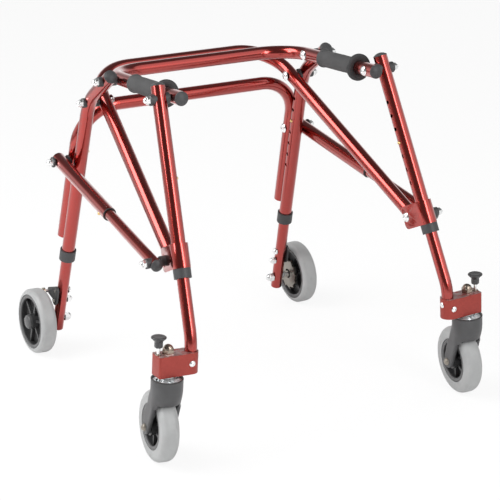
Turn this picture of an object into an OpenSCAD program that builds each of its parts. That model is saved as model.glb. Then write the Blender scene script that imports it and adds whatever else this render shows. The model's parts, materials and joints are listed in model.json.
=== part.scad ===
// Posterior walker: a folding, height-adjustable frame on two rear wheels and two front casters.
// The user stands inside, between the hand grips. +Z is up, -Y is the open front, +X is the user's left.

/* [Tubes] */
// Outer diameter of the upper legs, the bars and the rear part of the stays
tube_d = 25.4; // [22:0.1:30]
// Wall of those tubes
tube_wall = 1.25; // [1:0.05:1.6]
// Radial clearance between a tube and the tube that telescopes in it
slide_gap = 0.35; // [0.3:0.01:0.5]
// Wall of the telescoping lower legs
lower_wall = 1.5; // [1:0.1:2.5]
// Wall thickness of the stay's outer tube
stay_wall = 1.7; // [1:0.1:2]
// Outer diameter of the stay's inner tube
stay_inner_d = 20; // [18:0.1:20.6]
// Wall of the stay's inner tube
stay_inner_wall = 1.5; // [1:0.1:2]
// Height of a domed tube end
dome_h = 5; // [3:0.5:8]

/* [Wheels] */
// Diameter over the tyres
wheel_d = 127; // [115:1:140]
// Width of the tyres
tyre_w = 32; // [28:1:34]
// Radius that rounds the tyre's shoulders
shoulder_r = 11; // [6:1:14]
// Height of a caster's tyre from the rim to the tread
tyre_h = 22; // [16:1:24]
// Height of a rear tyre from the rim to the tread
rear_tyre_h = 10; // [9:1:17]
// Diameter of the wheel axles
axle_d = 8; // [6:0.5:10]
// Diameter of the hub's centre boss
boss_d = 30; // [24:1:36]
// Number of ribs in a hub
hub_ribs = 6; // [3:1:8]

/* [Rear frame] */
// Distance of the rear axle behind the middle of the walker
rear_axle_y = 281; // [250:1:300]
// Sideways distance of a rear leg at its axle
rear_axle_x = 248; // [230:1:260]
// Lean of the rear legs, the top forward
rear_rake = 15.5; // [10:0.5:18]
// Slope of the rear legs, the top inward
rear_splay = 2.2; // [0:0.1:3]
// Distance of the rear wheel's middle plane outside the leg
rear_wheel_out = 46; // [42:1:52]
// Distance up the leg, from the axle to the bend at its top
stub_start = 453; // [430:1:470]
// Bend radius at the top of a rear leg
stub_r = 90; // [70:1:110]
// Angle of that bend
stub_bend = 39; // [30:1:45]
// Distance of the handle's pivot past the bend
pivot_a_out = 61; // [50:1:80]
// Turn of the bend at which the diagonal's pivot sits
pivot_b_turn = 21; // [14:1:36]
// Length of the stub past the handle's pivot
stub_past = 18; // [16:1:30]
// Distance up the leg, from the axle to the lower end of the upper tube
rear_upper_end = 141; // [120:1:142]
// Length of the lower leg below the axle
rear_toe = 24; // [16:1:30]
// Height of the back bar's crossbar above the axle, along the leg
back_bar_up = 455; // [430:1:470]
// Bend radius of the back bar
back_bar_r = 80; // [50:1:100]
// Height of the back bar's lower ends above the axle, along the leg
back_bar_low = 177; // [150:1:250]
// Gap between a rear leg and the back bar behind it, filled by the welds
weld_gap = 0.4; // [0.3:0.1:1]
// Height of the stay's pivot above the axle, along the leg
pivot_e_up = 345; // [320:1:350]

/* [Front frame] */
// Distance of the front legs' feet in front of the middle of the walker
foot_y = 314; // [280:1:330]
// Sideways distance of the front legs' feet
foot_x = 262; // [250:1:275]
// Height of the bend at the foot of a front leg
foot_z = 222; // [218:1:230]
// Lean of the front legs, the top rearward
front_lean = 25; // [20:0.5:28]
// Slope of the front legs, the top inward
front_splay = 4.7; // [2:0.1:6]
// Bend radius at the foot
foot_r = 80; // [60:1:100]
// Slope of the caster's swivel axis, the top inward
stem_tilt = 3; // [0:0.5:5]
// Distance up the leg, from the foot's bend to the handle's pivot
pivot_c_up = 417; // [400:1:430]
// Length of the leg past the handle's pivot
front_past = 22; // [16:1:30]
// Distance up the leg to the middle of the bracket
bracket_up = 144; // [135:1:155]
// Distance of the bracket's pivot behind the leg
pivot_d_back = 38; // [34:1:44]
// Turn of the bracket about the leg, its rear inward
bracket_turn = 5; // [3:0.5:7]
// Height of the bracket
bracket_h = 43; // [36:1:50]
// Wall of the bracket
bracket_wall = 3; // [2:0.5:4]
// Distance of the bracket's rear edge past its pivot
bracket_past = 9; // [7:1:14]

/* [Bars] */
// Sideways distance of the handle's sides
handle_x = 197; // [190:1:200]
// Bend radius of the handle
handle_r = 72; // [50:1:90]
// Distance of the handle's crossbar behind its pivot
handle_back = 74; // [72:1:100]
// Length of the handle past the front leg's pivot
handle_past = 22; // [16:1:30]
// Sideways distance of the diagonal at its pivot
diagonal_x = 200; // [196:1:206]
// Bend radius of the diagonal
diagonal_r = 83; // [60:1:95]
// Distance of the diagonal's crossbar behind its pivot
diagonal_back = 85; // [80:1:110]
// Length of the diagonal past the bracket's pivot
diagonal_past = 12; // [8:1:16]

/* [Grips] */
// Diameter of the hand grips
grip_d = 31; // [29:0.5:36]
// Length of the hand grips
grip_l = 126; // [100:1:146]
// Distance from the front pivot to the grip's flange
grip_from_pivot = 34; // [28:1:40]
// Diameter of the flange at the front of a grip
flange_d = 50; // [40:1:54]
// Thickness of the flange
flange_t = 6; // [4:1:10]
// Diameter of the lip at the rear of a grip
grip_lip_d = 35; // [33:1:40]

/* [Stays] */
// Length of the stay's outer tube in front of its pivot
stay_outer_l = 240; // [200:1:260]
// Distance from the rear pivot to the inner tube's hidden end
stay_inner_start = 124; // [110:1:150]
// Length of a stay past its pivots
stay_past = 11; // [8:1:16]
// Distance of the stay's button behind the mouth of its outer tube
stay_button_back = 24; // [18:1:40]
// Turn of the stay's button below the sideways direction
stay_button_turn = 40; // [0:5:90]
// Length of the slot that the button runs in
stay_slot = 92; // [90:1:110]
// Thickness of the black spacer inside a stay's rear pivot
spacer_e = 3; // [3:0.5:8]
// Thickness of the black spacer inside a stay's front pivot
spacer_d = 9; // [8:0.5:14]
// Slope of the bolt at a stay's rear pivot, its outer end upward
pivot_e_tilt = 1.11; // [0:0.01:3]

/* [Height adjustment] */
// Distance between adjusting holes
hole_pitch = 25.4; // [20:0.1:30]
// Diameter of a snap button
button_d = 6.4; // [5:0.1:8]
// Radial room round a button in the tube that it locks
button_room = 0.4; // [0.3:0.1:0.8]
// Height of a button above the tube
button_out = 3; // [2:0.5:4]
// Distance up the rear leg, from the axle to its button
rear_button_up = 376; // [365:1:380]
// Free holes above a rear button
rear_holes_above = 2; // [1:1:2]
// Free holes below a rear button
rear_holes_below = 4; // [1:1:6]
// Distance up the front leg, from the foot's bend to its button
front_button_up = 278; // [265:1:290]
// Free holes above, and below, a front button
front_holes = 3; // [1:1:4]
// Length of a lower leg above its button
top_past_button = 12; // [8:1:13]
// Outer diameter of the collars at the ends of the upper legs
collar_d = 31; // [29:0.5:36]
// Height of the rear collars
rear_collar_h = 22; // [16:1:26]
// Height of the front collars
front_collar_h = 17; // [14:1:20]
// Thickness of a collar's lower lip
collar_lip = 4; // [2:0.5:6]

/* [Fasteners] */
// Diameter of the pivot bolts
bolt_d = 8; // [6:0.5:10]
// Radial clearance of a moving hole on its bolt
run_gap = 0.05; // [0.03:0.01:0.08]
// Diameter of a domed bolt head
head_d = 18.5; // [13:0.5:20]
// Height of a domed bolt head
head_h = 5; // [3:0.5:7]
// Size of an acorn nut across its flats
nut_af = 13; // [11:0.5:14]
// Height of an acorn nut
nut_h = 12; // [10:0.5:15]
// Diameter of the black spacers and washers
spacer_dia = 20; // [18:0.5:22]
// Thickness of the black washers
washer_t = 3; // [2:0.5:5]

/* [Casters] */
// Sideways distance of the swivel axis outside the leg's foot
stem_out = 43; // [40:1:50]
// Height of the top of the caster block
block_top = 204; // [198:1:206]
// Height of the caster block
block_h = 38; // [34:1:40]
// Depth of the caster block
block_depth = 32; // [30:1:38]
// Length of the block past the swivel axis
block_past = 23; // [23:0.5:30]
// Diameter of the swivel stem
stem_d = 12; // [10:0.5:14]
// Diameter of the steel bushing under the block
bushing_d = 29; // [17:0.5:30]
// Distance of the block's rounded end behind the leg's middle line
block_round_in = 3; // [0:0.5:4]
// Size of the stem's nut across its flats
stem_nut_af = 19; // [16:0.5:22]
// Height of the stem's nut
stem_nut_h = 17; // [12:0.5:20]
// Diameter of the fork's round top
cup_d = 56; // [52:1:62]
// Gap between the block and the rim of the fork's top
cup_gap = 6; // [4:0.5:10]
// Wall of the fork's round top
cup_wall = 3; // [2:0.5:4]
// Height of the fork's round top
cup_h = 51; // [50:1:56]
// Depth of the steel plate below the rim
plate_drop = 3; // [2:0.5:8]
// Thickness of the steel plate
plate_t = 5; // [3:0.5:6]
// Distance of the caster wheel's axle behind the swivel axis
trail = 29; // [20:1:36]
// Turn of the casters as the walker stands
caster_turn = -5; // [-10:1:10]
// Room between the tyre and a fork arm
arm_room = 3; // [2:0.5:4]
// Thickness of a fork arm
arm_t = 8; // [6:0.5:10]
// Width of a fork arm at the axle
arm_end_d = 25; // [20:1:30]
// Width of a fork arm under the round top
arm_top_w = 38; // [34:1:42]
// How far the arms' front edges are set back under the round top
arm_set_back = 8; // [0:1:10]

/* [Swivel locks] */
// Distance of the lock pin outside the swivel axis
lock_out = 18.5; // [17:0.5:18.5]
// Diameter of the lock pin
lock_pin_d = 6; // [5:0.5:7]
// Travel of the lock pin
lock_travel = 5.5; // [4:0.5:5.5]
// Height of the knob above the block when the lock is open
lock_raise = 13; // [11:0.5:16]
// Diameter of the knob
knob_d = 27; // [22:0.5:30]
// Thickness of the knob's top
knob_t = 6; // [4:0.5:8]
// Diameter of the knob's neck
knob_neck_d = 15; // [12:0.5:17]
// Length of the knob's neck
knob_neck_l = 13; // [8:0.5:16]

/* [One-way stops] */
// Number of teeth on a ratchet ring
ratchet_teeth = 12; // [12:12:24]
// Diameter over the ratchet's teeth
ratchet_d = 66; // [60:1:72]
// Depth of the teeth
tooth_h = 5; // [3:0.5:6]
// Thickness of the ratchet ring
ratchet_t = 5; // [3:0.5:6]
// Height of the upper bracket bolt above the axle, along the leg
stop_bolt_high = 64; // [58:1:70]
// Height of the lower bracket bolt above the axle, along the leg
stop_bolt_low = 42; // [34:1:46]
// Distance of the pawl's pin behind the leg's middle line
pawl_pin_y = 27; // [22:1:32]
// Height of the pawl's pin above the axle, along the leg
pawl_pin_z = 48; // [44:1:52]
// Thickness of the bracket that carries the pawl
stop_plate_t = 4; // [3:0.5:5]

/* [Hidden] */
$fn = 64;
FINE = 0.05;
BIG = 400;
// A bend's wall lies this far inside the walls of the straight tubes, which lap over its ends
JOIN = 0.1;
LAP = 2;
RED = [0.55, 0.08, 0.08];
BLACK = [0.17, 0.17, 0.18];
STEEL = [0.78, 0.79, 0.80];
BRASS = [0.82, 0.66, 0.34];
TYRE = [0.68, 0.69, 0.69];

tube_r = tube_d / 2;
bore_d = tube_d - 2 * tube_wall;
lower_d = bore_d - 2 * slide_gap;
lower_bore_d = lower_d - 2 * lower_wall;
stay_bore_d = tube_d - 2 * stay_wall;
stay_inner_bore_d = stay_inner_d - 2 * stay_inner_wall;
wheel_r = wheel_d / 2;
rim_r = wheel_r - tyre_h;
rear_rim_r = wheel_r - rear_tyre_h;
rear_shoulder_r = min(shoulder_r, rear_tyre_h - 1);
run_d = bolt_d + 2 * run_gap;
axle_run_d = axle_d + 2 * run_gap;
lock_hole_d = button_d + 2 * button_room;
button_run_d = button_d + 2 * run_gap;

// Frames of the legs: the origin at the axle or the foot's bend, local z up along the leg
// A sloping wheel stands on its tread's edge, so its middle is a little higher than an upright one's
function standing(slope, r) = (wheel_r - r) * cos(slope) + (tyre_w / 2 - r) * abs(sin(slope)) + r;
rear_axle_z = standing(asin(cos(rear_rake) * sin(rear_splay)), rear_shoulder_r) - rear_wheel_out * cos(rear_rake) * sin(rear_splay);
rear_axle = [rear_axle_x, rear_axle_y, rear_axle_z];
front_foot = [foot_x, -foot_y, foot_z];
function leaned(v, turn, splay, from) =
    let (x = v.x * cos(splay) - v.z * sin(splay), up = v.x * sin(splay) + v.z * cos(splay))
    [from.x + x, from.y + v.y * cos(turn) - up * sin(turn), from.z + v.y * sin(turn) + up * cos(turn)];
function rear_point(v) = leaned(v, rear_rake, rear_splay, rear_axle);
function front_point(v) = leaned(v, -front_lean, front_splay, front_foot);

// Pivots, on the left side; every pivot's axis runs along X
pivot_a = rear_point([
    0,
    -stub_r * (1 - cos(stub_bend)) - pivot_a_out * sin(stub_bend),
    stub_start + stub_r * sin(stub_bend) + pivot_a_out * cos(stub_bend)
]);
pivot_b = rear_point([0, -stub_r * (1 - cos(pivot_b_turn)), stub_start + stub_r * sin(pivot_b_turn)]);
back_bar_off = tube_d + weld_gap;
pivot_e = rear_point([0, back_bar_off, pivot_e_up]);
pivot_c = front_point([0, 0, pivot_c_up]);
pivot_d = front_point([-pivot_d_back * sin(bracket_turn), pivot_d_back * cos(bracket_turn), bracket_up]);
echo(pivot_a = pivot_a, pivot_b = pivot_b, pivot_c = pivot_c, pivot_d = pivot_d, pivot_e = pivot_e);

// The handle leans from pivot A to pivot C, the diagonal from pivot B to pivot D
handle_l = norm([pivot_c.y - pivot_a.y, pivot_c.z - pivot_a.z]);
handle_turn = -atan2(pivot_c.z - pivot_a.z, pivot_a.y - pivot_c.y);
diagonal_l = norm([pivot_d.y - pivot_b.y, pivot_d.z - pivot_b.z]);
diagonal_turn = atan2(pivot_b.z - pivot_d.z, pivot_b.y - pivot_d.y);
diagonal_splay = atan2(pivot_d.x - diagonal_x, diagonal_l);

// The stay runs from pivot E, outside the back bar, to pivot D, outside the bracket
bracket_half = tube_r + bracket_wall + FINE;
bracket_face_x = pivot_d.x + bracket_half / cos(front_splay + bracket_turn) + 1;
stay_front_x = bracket_face_x + spacer_d + stay_inner_d / 2;
// The rear bolt slopes a little, so that the front end keeps its sideways place as the walker folds
bolt_e_turn = atan2(pivot_e.z - pivot_d.z, pivot_e.y - pivot_d.y);
bolt_e_way = [cos(pivot_e_tilt), -sin(bolt_e_turn) * sin(pivot_e_tilt), cos(bolt_e_turn) * sin(pivot_e_tilt)];
stay_e_out = 2 * tube_r + spacer_e;
stay_rear = pivot_e + stay_e_out * bolt_e_way;
stay_flat = norm([pivot_d.y - stay_rear.y, pivot_d.z - stay_rear.z]);
stay_turn = atan2(stay_rear.z - pivot_d.z, stay_rear.y - pivot_d.y);
stay_splay = atan2(stay_front_x - stay_rear.x, stay_flat);
stay_l = stay_flat / cos(stay_splay);
stay_button_at = stay_outer_l - stay_button_back;
echo(stay_rear = stay_rear, bolt_e_way = bolt_e_way);
echo(stay_l = stay_l, stay_turn = stay_turn, stay_splay = stay_splay, stay_front_x = stay_front_x);

// Caster heights, from the block down
stem_x = foot_x + stem_out;
block_low = block_top - block_h;
cup_top = block_low - cup_gap;
plate_top = cup_top - plate_drop;
cup_low = cup_top - cup_h;
arm_in = tyre_w / 2 + arm_room;
lock_x = stem_x + lock_out;
block_end_x = stem_x + block_past;
hub_half = arm_in - 0.5;
// The caster's own height of its axle, before the swivel axis is sloped about the leg's foot
function caster_slope(turn) = asin(sin(stem_tilt) * cos(turn));
function caster_axle_z(turn) = foot_z + (standing(caster_slope(turn), shoulder_r) - foot_z
    - (stem_out - trail * sin(turn)) * sin(stem_tilt)) / cos(stem_tilt);

// Places along the rear axle, from the leg's middle line outward
ratchet_x = rear_wheel_out - tyre_w / 2 - ratchet_t;
stop_plate_x = lower_d / 2 + 0.3;
pawl_pin = [pawl_pin_y, pawl_pin_z];

// Placing
module left() { children(); }
module right() { mirror([1, 0, 0]) children(); }
module both() {
    left() children();
    right() children();
}
module rear_frame() translate(rear_axle) rotate([rear_rake, 0, 0]) rotate([0, -rear_splay, 0]) children();
module front_frame() translate(front_foot) rotate([-front_lean, 0, 0]) rotate([0, -front_splay, 0]) children();
module bracket_frame() front_frame() translate([0, 0, bracket_up]) rotate([0, 0, bracket_turn]) children();
module handle_frame() translate([0, pivot_a.y, pivot_a.z]) rotate([handle_turn, 0, 0]) children();
module diagonal_frame() translate([0, pivot_b.y, pivot_b.z]) rotate([diagonal_turn, 0, 0]) children();
module stay_frame() translate(stay_rear)
    rotate([stay_turn, 0, 0]) rotate([90, 0, 0]) rotate([0, stay_splay, 0]) children();
module bolt_e_frame() translate(pivot_e) rotate([bolt_e_turn, 0, 0]) rotate([0, -pivot_e_tilt, 0]) children();
// The caster hangs from the leg's foot, sloped about it
module tilted() translate(front_foot) rotate([0, -stem_tilt, 0]) translate(-front_foot) children();
module stem_frame() tilted() translate([stem_x, -foot_y, 0]) children();
// Both casters are turned the same way, so the mirrored one is turned back
module fork_frame(turn) stem_frame() rotate([0, 0, turn]) children();

// A rod along X from one place to another, at a pivot
module x_rod(at, from, to, d) translate([from, at.y, at.z]) rotate([0, 90, 0]) cylinder(h = to - from, d = d);
module x_ring(at, from, to, d, bore) difference() {
    x_rod(at, from, to, d);
    x_rod(at, from - 1, to + 1, bore);
}

// Tubes
module ring(d, bore) difference() {
    circle(d = d);
    circle(d = bore);
}
module pipe(d, bore, from, to) translate([0, 0, from]) linear_extrude(to - from) ring(d, bore);
// A bend that starts at the origin along +Z and turns toward -Y
module pipe_bend(d, bore, r, angle)
    translate([0, -r, 0]) rotate([0, 90, 0]) rotate([0, 0, 90])
        rotate_extrude(angle = angle) translate([r, 0]) ring(d - 2 * JOIN, bore + 2 * JOIN);
// A low dome on top of a tube's end
module dome(d, h) let (r = (d * d / 4 + h * h) / (2 * h)) intersection() {
    translate([0, 0, h - r]) sphere(r = r);
    cylinder(d = d, h = h);
}
// A plug in the end of a tube, with a lip as wide as the tube
module end_plug(d, bore, depth, lip) {
    translate([0, 0, -depth]) cylinder(d = bore - 2 * FINE, h = depth + FINE);
    cylinder(d = d, h = lip);
    translate([0, 0, lip]) dome(d, dome_h);
}

// Fasteners, with local +Z away from the joint
module bolt_head() difference() {
    dome(head_d, head_h);
    translate([0, 0, head_h - 2.5]) cylinder(d = head_d * 0.36, h = head_h, $fn = 6);
}
module acorn_nut(af, h) let (r = af * 0.45) difference() {
    union() {
        cylinder(d = af / cos(30), h = h - r, $fn = 6);
        translate([0, 0, h - r]) sphere(r = r);
    }
    translate([0, 0, -1]) cylinder(d = bolt_d, h = h - r + 1);
}
module nut_at(at, x) translate([x, at.y, at.z]) rotate([0, 90, 0]) acorn_nut(nut_af, nut_h);
module head_at(at, x) translate([x, at.y, at.z]) rotate([0, -90, 0]) bolt_head();
// A bolt from its inside head to just under the dome of its acorn nut
module bolt(at, head_x, nut_x) {
    head_at(at, head_x);
    x_rod(at, head_x, nut_x + nut_h - nut_af * 0.45 - 1, bolt_d);
}

// A snap button on its V-shaped leaf spring; the button points along -X from the tube's middle line
module snap_button(out_r, bore_r, travel = 4) let (
    flange_r = sqrt(bore_r * bore_r - 20.25) - 0.3,
    leaf_t = 0.7,
    leaf_l = 40,
    back = sqrt(bore_r * bore_r - 9) - travel - 0.4
) {
    translate([-out_r - button_out + button_d / 2, 0, 0]) sphere(d = button_d);
    translate([-out_r - button_out + button_d / 2, 0, 0]) rotate([0, 90, 0])
        cylinder(d = button_d, h = out_r + button_out - button_d / 2 - flange_r + 0.8);
    translate([-flange_r, 0, 0]) rotate([0, 90, 0]) cylinder(d = 9, h = 0.8);
    translate([0, 3, 0]) rotate([90, 0, 0]) linear_extrude(6) polygon([
        [-flange_r, 3], [-flange_r + leaf_t, 3], [-flange_r + leaf_t, -2], [leaf_t - 1, -leaf_l],
        [back - leaf_t, -8], [back, -8], [0.4, -leaf_l - 2], [-1, -leaf_l - 2], [-flange_r, -2]
    ]);
}

// Rear frame
module rear_leg() difference() {
    rear_frame() {
        pipe(tube_d, bore_d, rear_upper_end, stub_start + LAP);
        translate([0, 0, stub_start]) pipe_bend(tube_d, bore_d, stub_r, stub_bend);
        stub_end() pipe(tube_d, bore_d, -pivot_a_out - stub_past - LAP, 0);
    }
    x_rod(pivot_a, pivot_a.x - BIG / 4, pivot_a.x + BIG / 4, bolt_d);
    x_rod(pivot_b, pivot_b.x - BIG / 4, pivot_b.x + BIG / 4, bolt_d);
    for (step = [-rear_holes_below:rear_holes_above])
        rear_frame() translate([0, 0, rear_button_up + step * hole_pitch])
            rotate([0, -90, 0]) cylinder(d = lock_hole_d, h = tube_d);
}
// The open end of the stub at the top of a rear leg
module stub_end() translate([0, -stub_r * (1 - cos(stub_bend)), stub_start + stub_r * sin(stub_bend)])
    rotate([stub_bend, 0, 0]) translate([0, 0, pivot_a_out + stub_past]) children();
module rear_legs() color(RED) both() rear_leg();

// The collar grips the upper tube's end, and its lip guides the lower tube
module collar(h) difference() {
    translate([0, 0, -collar_lip]) cylinder(d = collar_d, h = h);
    cylinder(d = tube_d + 2 * FINE, h = h);
    translate([0, 0, -collar_lip - 1]) cylinder(d = lower_d + 2 * slide_gap, h = h);
}
module rear_leg_fittings() color(BLACK) both() rear_frame() {
    stub_end() end_plug(tube_d, bore_d, 12, 2);
    translate([0, 0, rear_upper_end]) collar(rear_collar_h);
}

// The back bar: an inverted U whose legs are welded behind the rear legs
back_bar_tilt = rear_splay;
back_bar_turn = 90 - back_bar_tilt;
back_bar_corner = rear_axle_x - back_bar_up * tan(back_bar_tilt);
back_bar_cut = back_bar_r * tan(back_bar_turn / 2);
back_bar_top = (back_bar_up - back_bar_cut * cos(back_bar_tilt)) / cos(back_bar_tilt);
module back_bar_side() translate([rear_axle_x, back_bar_off, 0]) rotate([0, -back_bar_tilt, 0]) {
    pipe(tube_d, bore_d, back_bar_low, back_bar_top + LAP);
    translate([0, 0, back_bar_low]) rotate([180, 0, 0]) dome(tube_d, dome_h);
    translate([0, 0, back_bar_top]) rotate([0, 0, -90]) pipe_bend(tube_d, bore_d, back_bar_r, back_bar_turn);
}
// A weld that fills the gap between a rear leg and the back bar's leg
module weld(up) translate([-tube_r * 0.35, tube_r + FINE, up]) cube([tube_r * 0.7, weld_gap + tube_wall * 0.6, 30]);
module back_bar() color(RED) difference() {
    union() {
        translate([0, rear_axle_y, rear_axle_z]) rotate([rear_rake, 0, 0]) {
            both() back_bar_side();
            translate([0, back_bar_off, back_bar_up]) rotate([0, 90, 0])
                pipe(tube_d, bore_d, -back_bar_corner + back_bar_cut - LAP, back_bar_corner - back_bar_cut + LAP);
        }
        both() rear_frame() {
            weld(back_bar_low + 20);
            weld(pivot_e_up + 40);
        }
    }
    both() bolt_e_frame() x_rod(ORIGIN, -BIG / 4, BIG / 4, bolt_d);
}

// Pivot bolts, nuts and spacers of the rear frame
head_a_x = handle_x - tube_r - FINE;
head_b_x = diagonal_x - tube_r - 1.4;
head_e = -tube_r - 0.3;
nut_a_x = pivot_a.x + tube_r + washer_t + 2.5;
nut_b_x = pivot_b.x + tube_r + washer_t;
stay_room = 0.9;
nut_e = stay_e_out + tube_r + stay_room + washer_t;
ORIGIN = [0, 0, 0];
module pivot_bolts() color(STEEL) both() {
    bolt(pivot_a, head_a_x - 0.3, nut_a_x);
    bolt(pivot_b, head_b_x, nut_b_x);
    bolt_e_frame() {
        bolt(ORIGIN, head_e, nut_e);
        nut_at(ORIGIN, nut_e);
    }
    nut_at(pivot_a, nut_a_x);
    nut_at(pivot_b, nut_b_x);
}
// Spacers inside the legs and washers outside them, cut to sit on the tubes
module pivot_spacers() color(BLACK) both() {
    difference() {
        union() {
            x_ring(pivot_a, handle_x + tube_r + 0.4, pivot_a.x - tube_r / 2, spacer_dia, bolt_d + FINE);
            x_ring(pivot_a, pivot_a.x + tube_r / 2, nut_a_x, spacer_dia - 2, bolt_d + FINE);
        }
        rear_frame() stub_end() translate([0, 0, -BIG / 2]) cylinder(d = tube_d + FINE, h = BIG);
    }
    difference() {
        union() {
            x_ring(pivot_b, diagonal_x + tube_r + 1.7, pivot_b.x - tube_r / 2, spacer_dia, bolt_d + FINE);
            x_ring(pivot_b, pivot_b.x + tube_r / 2, nut_b_x, spacer_dia - 2, bolt_d + FINE);
        }
        rear_frame() {
            translate([0, 0, stub_start]) pipe_bend(tube_d + FINE, 1, stub_r, stub_bend);
            stub_end() translate([0, 0, -pivot_a_out - stub_past - LAP]) cylinder(d = tube_d + FINE, h = BIG / 8);
        }
    }
    difference() {
        bolt_e_frame() x_ring(ORIGIN, tube_r / 2, stay_e_out - tube_r - stay_room, spacer_dia, bolt_d + FINE);
        rear_frame() translate([0, back_bar_off, 0]) cylinder(d = tube_d + FINE, h = BIG);
    }
    bolt_e_frame() x_ring(ORIGIN, nut_e - washer_t, nut_e, spacer_dia, bolt_d + FINE);
}

// Handle bar
module handle_side() translate([handle_x, 0, 0]) {
    rotate([90, 0, 0]) pipe(tube_d, bore_d, handle_r - handle_back - LAP, handle_l + handle_past);
    translate([0, handle_back - handle_r, 0]) rotate([-90, 0, 0]) rotate([0, 0, -90])
        pipe_bend(tube_d, bore_d, handle_r, 90);
}
module handle_bar() color(RED) difference() {
    handle_frame() {
        both() handle_side();
        translate([0, handle_back, 0]) rotate([0, 90, 0])
            pipe(tube_d, bore_d, handle_r - handle_x - LAP, handle_x - handle_r + LAP);
    }
    both() {
        x_rod(pivot_a, handle_x - BIG / 4, handle_x + BIG / 4, run_d);
        x_rod(pivot_c, handle_x - BIG / 4, handle_x + BIG / 4, bolt_d);
    }
}
module handle_plugs() color(BLACK) both() handle_frame()
    translate([handle_x, -handle_l - handle_past, 0]) rotate([90, 0, 0]) end_plug(tube_d, bore_d, 8, 2);
// Grip, with its flange in front and its lip behind
module hand_grip() difference() {
    union() {
        cylinder(d = grip_d, h = grip_l);
        translate([0, 0, grip_l - flange_t]) cylinder(d = flange_d, h = flange_t);
        cylinder(d = grip_lip_d, h = 5);
    }
    translate([0, 0, -1]) cylinder(d = tube_d + 2 * FINE, h = grip_l + 2);
}
module hand_grips() color(BLACK) both() handle_frame()
    translate([handle_x, -handle_l + grip_from_pivot + grip_l, 0]) rotate([90, 0, 0]) hand_grip();
// The front pivot's bolt ends at the leg, where the pivot is left open
open_c_x = handle_x + tube_r + 0.4;
module handle_bolts() color(STEEL) both() {
    head_at(pivot_c, handle_x - tube_r - FINE);
    x_rod(pivot_c, handle_x - tube_r - FINE, open_c_x, bolt_d);
}

// Diagonal bar
diagonal_bend = 90 - diagonal_splay;
diagonal_cut = diagonal_r * tan(diagonal_bend / 2);
diagonal_corner = diagonal_x - diagonal_back * tan(diagonal_splay);
diagonal_straight = diagonal_back / cos(diagonal_splay) - diagonal_cut;
module diagonal_side() translate([diagonal_x, 0, 0]) rotate([0, 0, diagonal_splay]) {
    rotate([90, 0, 0])
        pipe(tube_d, bore_d, -diagonal_straight - LAP, diagonal_l / cos(diagonal_splay) + diagonal_past);
    translate([0, diagonal_straight, 0]) rotate([-90, 0, 0]) rotate([0, 0, -90])
        pipe_bend(tube_d, bore_d, diagonal_r, diagonal_bend);
}
module diagonal_bar() color(RED) difference() {
    diagonal_frame() {
        both() diagonal_side();
        translate([0, diagonal_back, 0]) rotate([0, 90, 0])
            pipe(tube_d, bore_d, diagonal_cut - diagonal_corner - LAP, diagonal_corner - diagonal_cut + LAP);
    }
    both() {
        x_rod(pivot_b, diagonal_x - BIG / 4, diagonal_x + BIG / 4, run_d);
        x_rod(pivot_d, pivot_d.x - BIG / 8, pivot_d.x + BIG / 8, run_d);
    }
}

// Front legs
front_upper_end = bracket_up - bracket_h / 2 - front_collar_h + collar_lip;
front_top = pivot_c_up + front_past;
module front_leg() difference() {
    front_frame() pipe(tube_d, bore_d, front_upper_end, front_top);
    x_rod(pivot_c, pivot_c.x - BIG / 8, pivot_c.x + BIG / 8, bolt_d);
    for (step = [-front_holes:front_holes])
        front_frame() translate([0, 0, front_button_up + step * hole_pitch])
            rotate([0, -90, 0]) cylinder(d = lock_hole_d, h = tube_d);
}
module front_legs() color(RED) both() front_leg();

// The bracket: a channel round the leg, with the diagonal's end between its plates
diagonal_room = 0.6;
plate_half = tube_r + diagonal_room;
module bracket_outline() difference() {
    union() {
        circle(r = plate_half + bracket_wall);
        translate([-plate_half - bracket_wall, 0])
            square([2 * (plate_half + bracket_wall), pivot_d_back + bracket_past]);
    }
    circle(r = tube_r + FINE);
    translate([-plate_half, tube_r + bracket_wall]) square([2 * plate_half, BIG]);
}
module front_bracket() difference() {
    bracket_frame() intersection() {
        translate([0, 0, -bracket_h / 2]) linear_extrude(bracket_h) bracket_outline();
        union() {
            translate([-BIG / 2, -BIG / 2, -bracket_h / 2])
                cube([BIG, BIG / 2 + pivot_d_back + bracket_past - 8, bracket_h]);
            for (up = [-1, 1]) translate([0, pivot_d_back + bracket_past - 8, up * (bracket_h / 2 - 8)])
                rotate([0, 90, 0]) cylinder(r = 8, h = BIG, center = true);
            translate([-BIG / 2, 0, -bracket_h / 2 + 8])
                cube([BIG, pivot_d_back + bracket_past, bracket_h - 16]);
        }
    }
    x_rod(pivot_d, pivot_d.x - BIG / 8, pivot_d.x + BIG / 8, bolt_d);
    // Flat seats for the bolt's head and the spacer
    x_rod(pivot_d, pivot_d.x - BIG / 8, head_d_x, head_d + 2);
    x_rod(pivot_d, seat_d_x, pivot_d.x + BIG / 8, spacer_dia + 1);
}
module front_brackets() color(RED) both() front_bracket();
head_d_x = pivot_d.x - plate_half - bracket_wall + 0.6;
seat_d_x = pivot_d.x + plate_half + bracket_wall - 0.6;
open_d_x = stay_front_x - stay_inner_d / 2 - 1.2;
nut_c_x = pivot_c.x + tube_r + FINE + washer_t * 2;
module front_bolts() color(STEEL) both() {
    head_at(pivot_d, head_d_x);
    x_rod(pivot_d, head_d_x, open_d_x, bolt_d);
    x_rod(pivot_c, open_c_x + 0.6, nut_c_x + nut_h - nut_af * 0.45 - 1, bolt_d);
    nut_at(pivot_c, nut_c_x);
}
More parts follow.
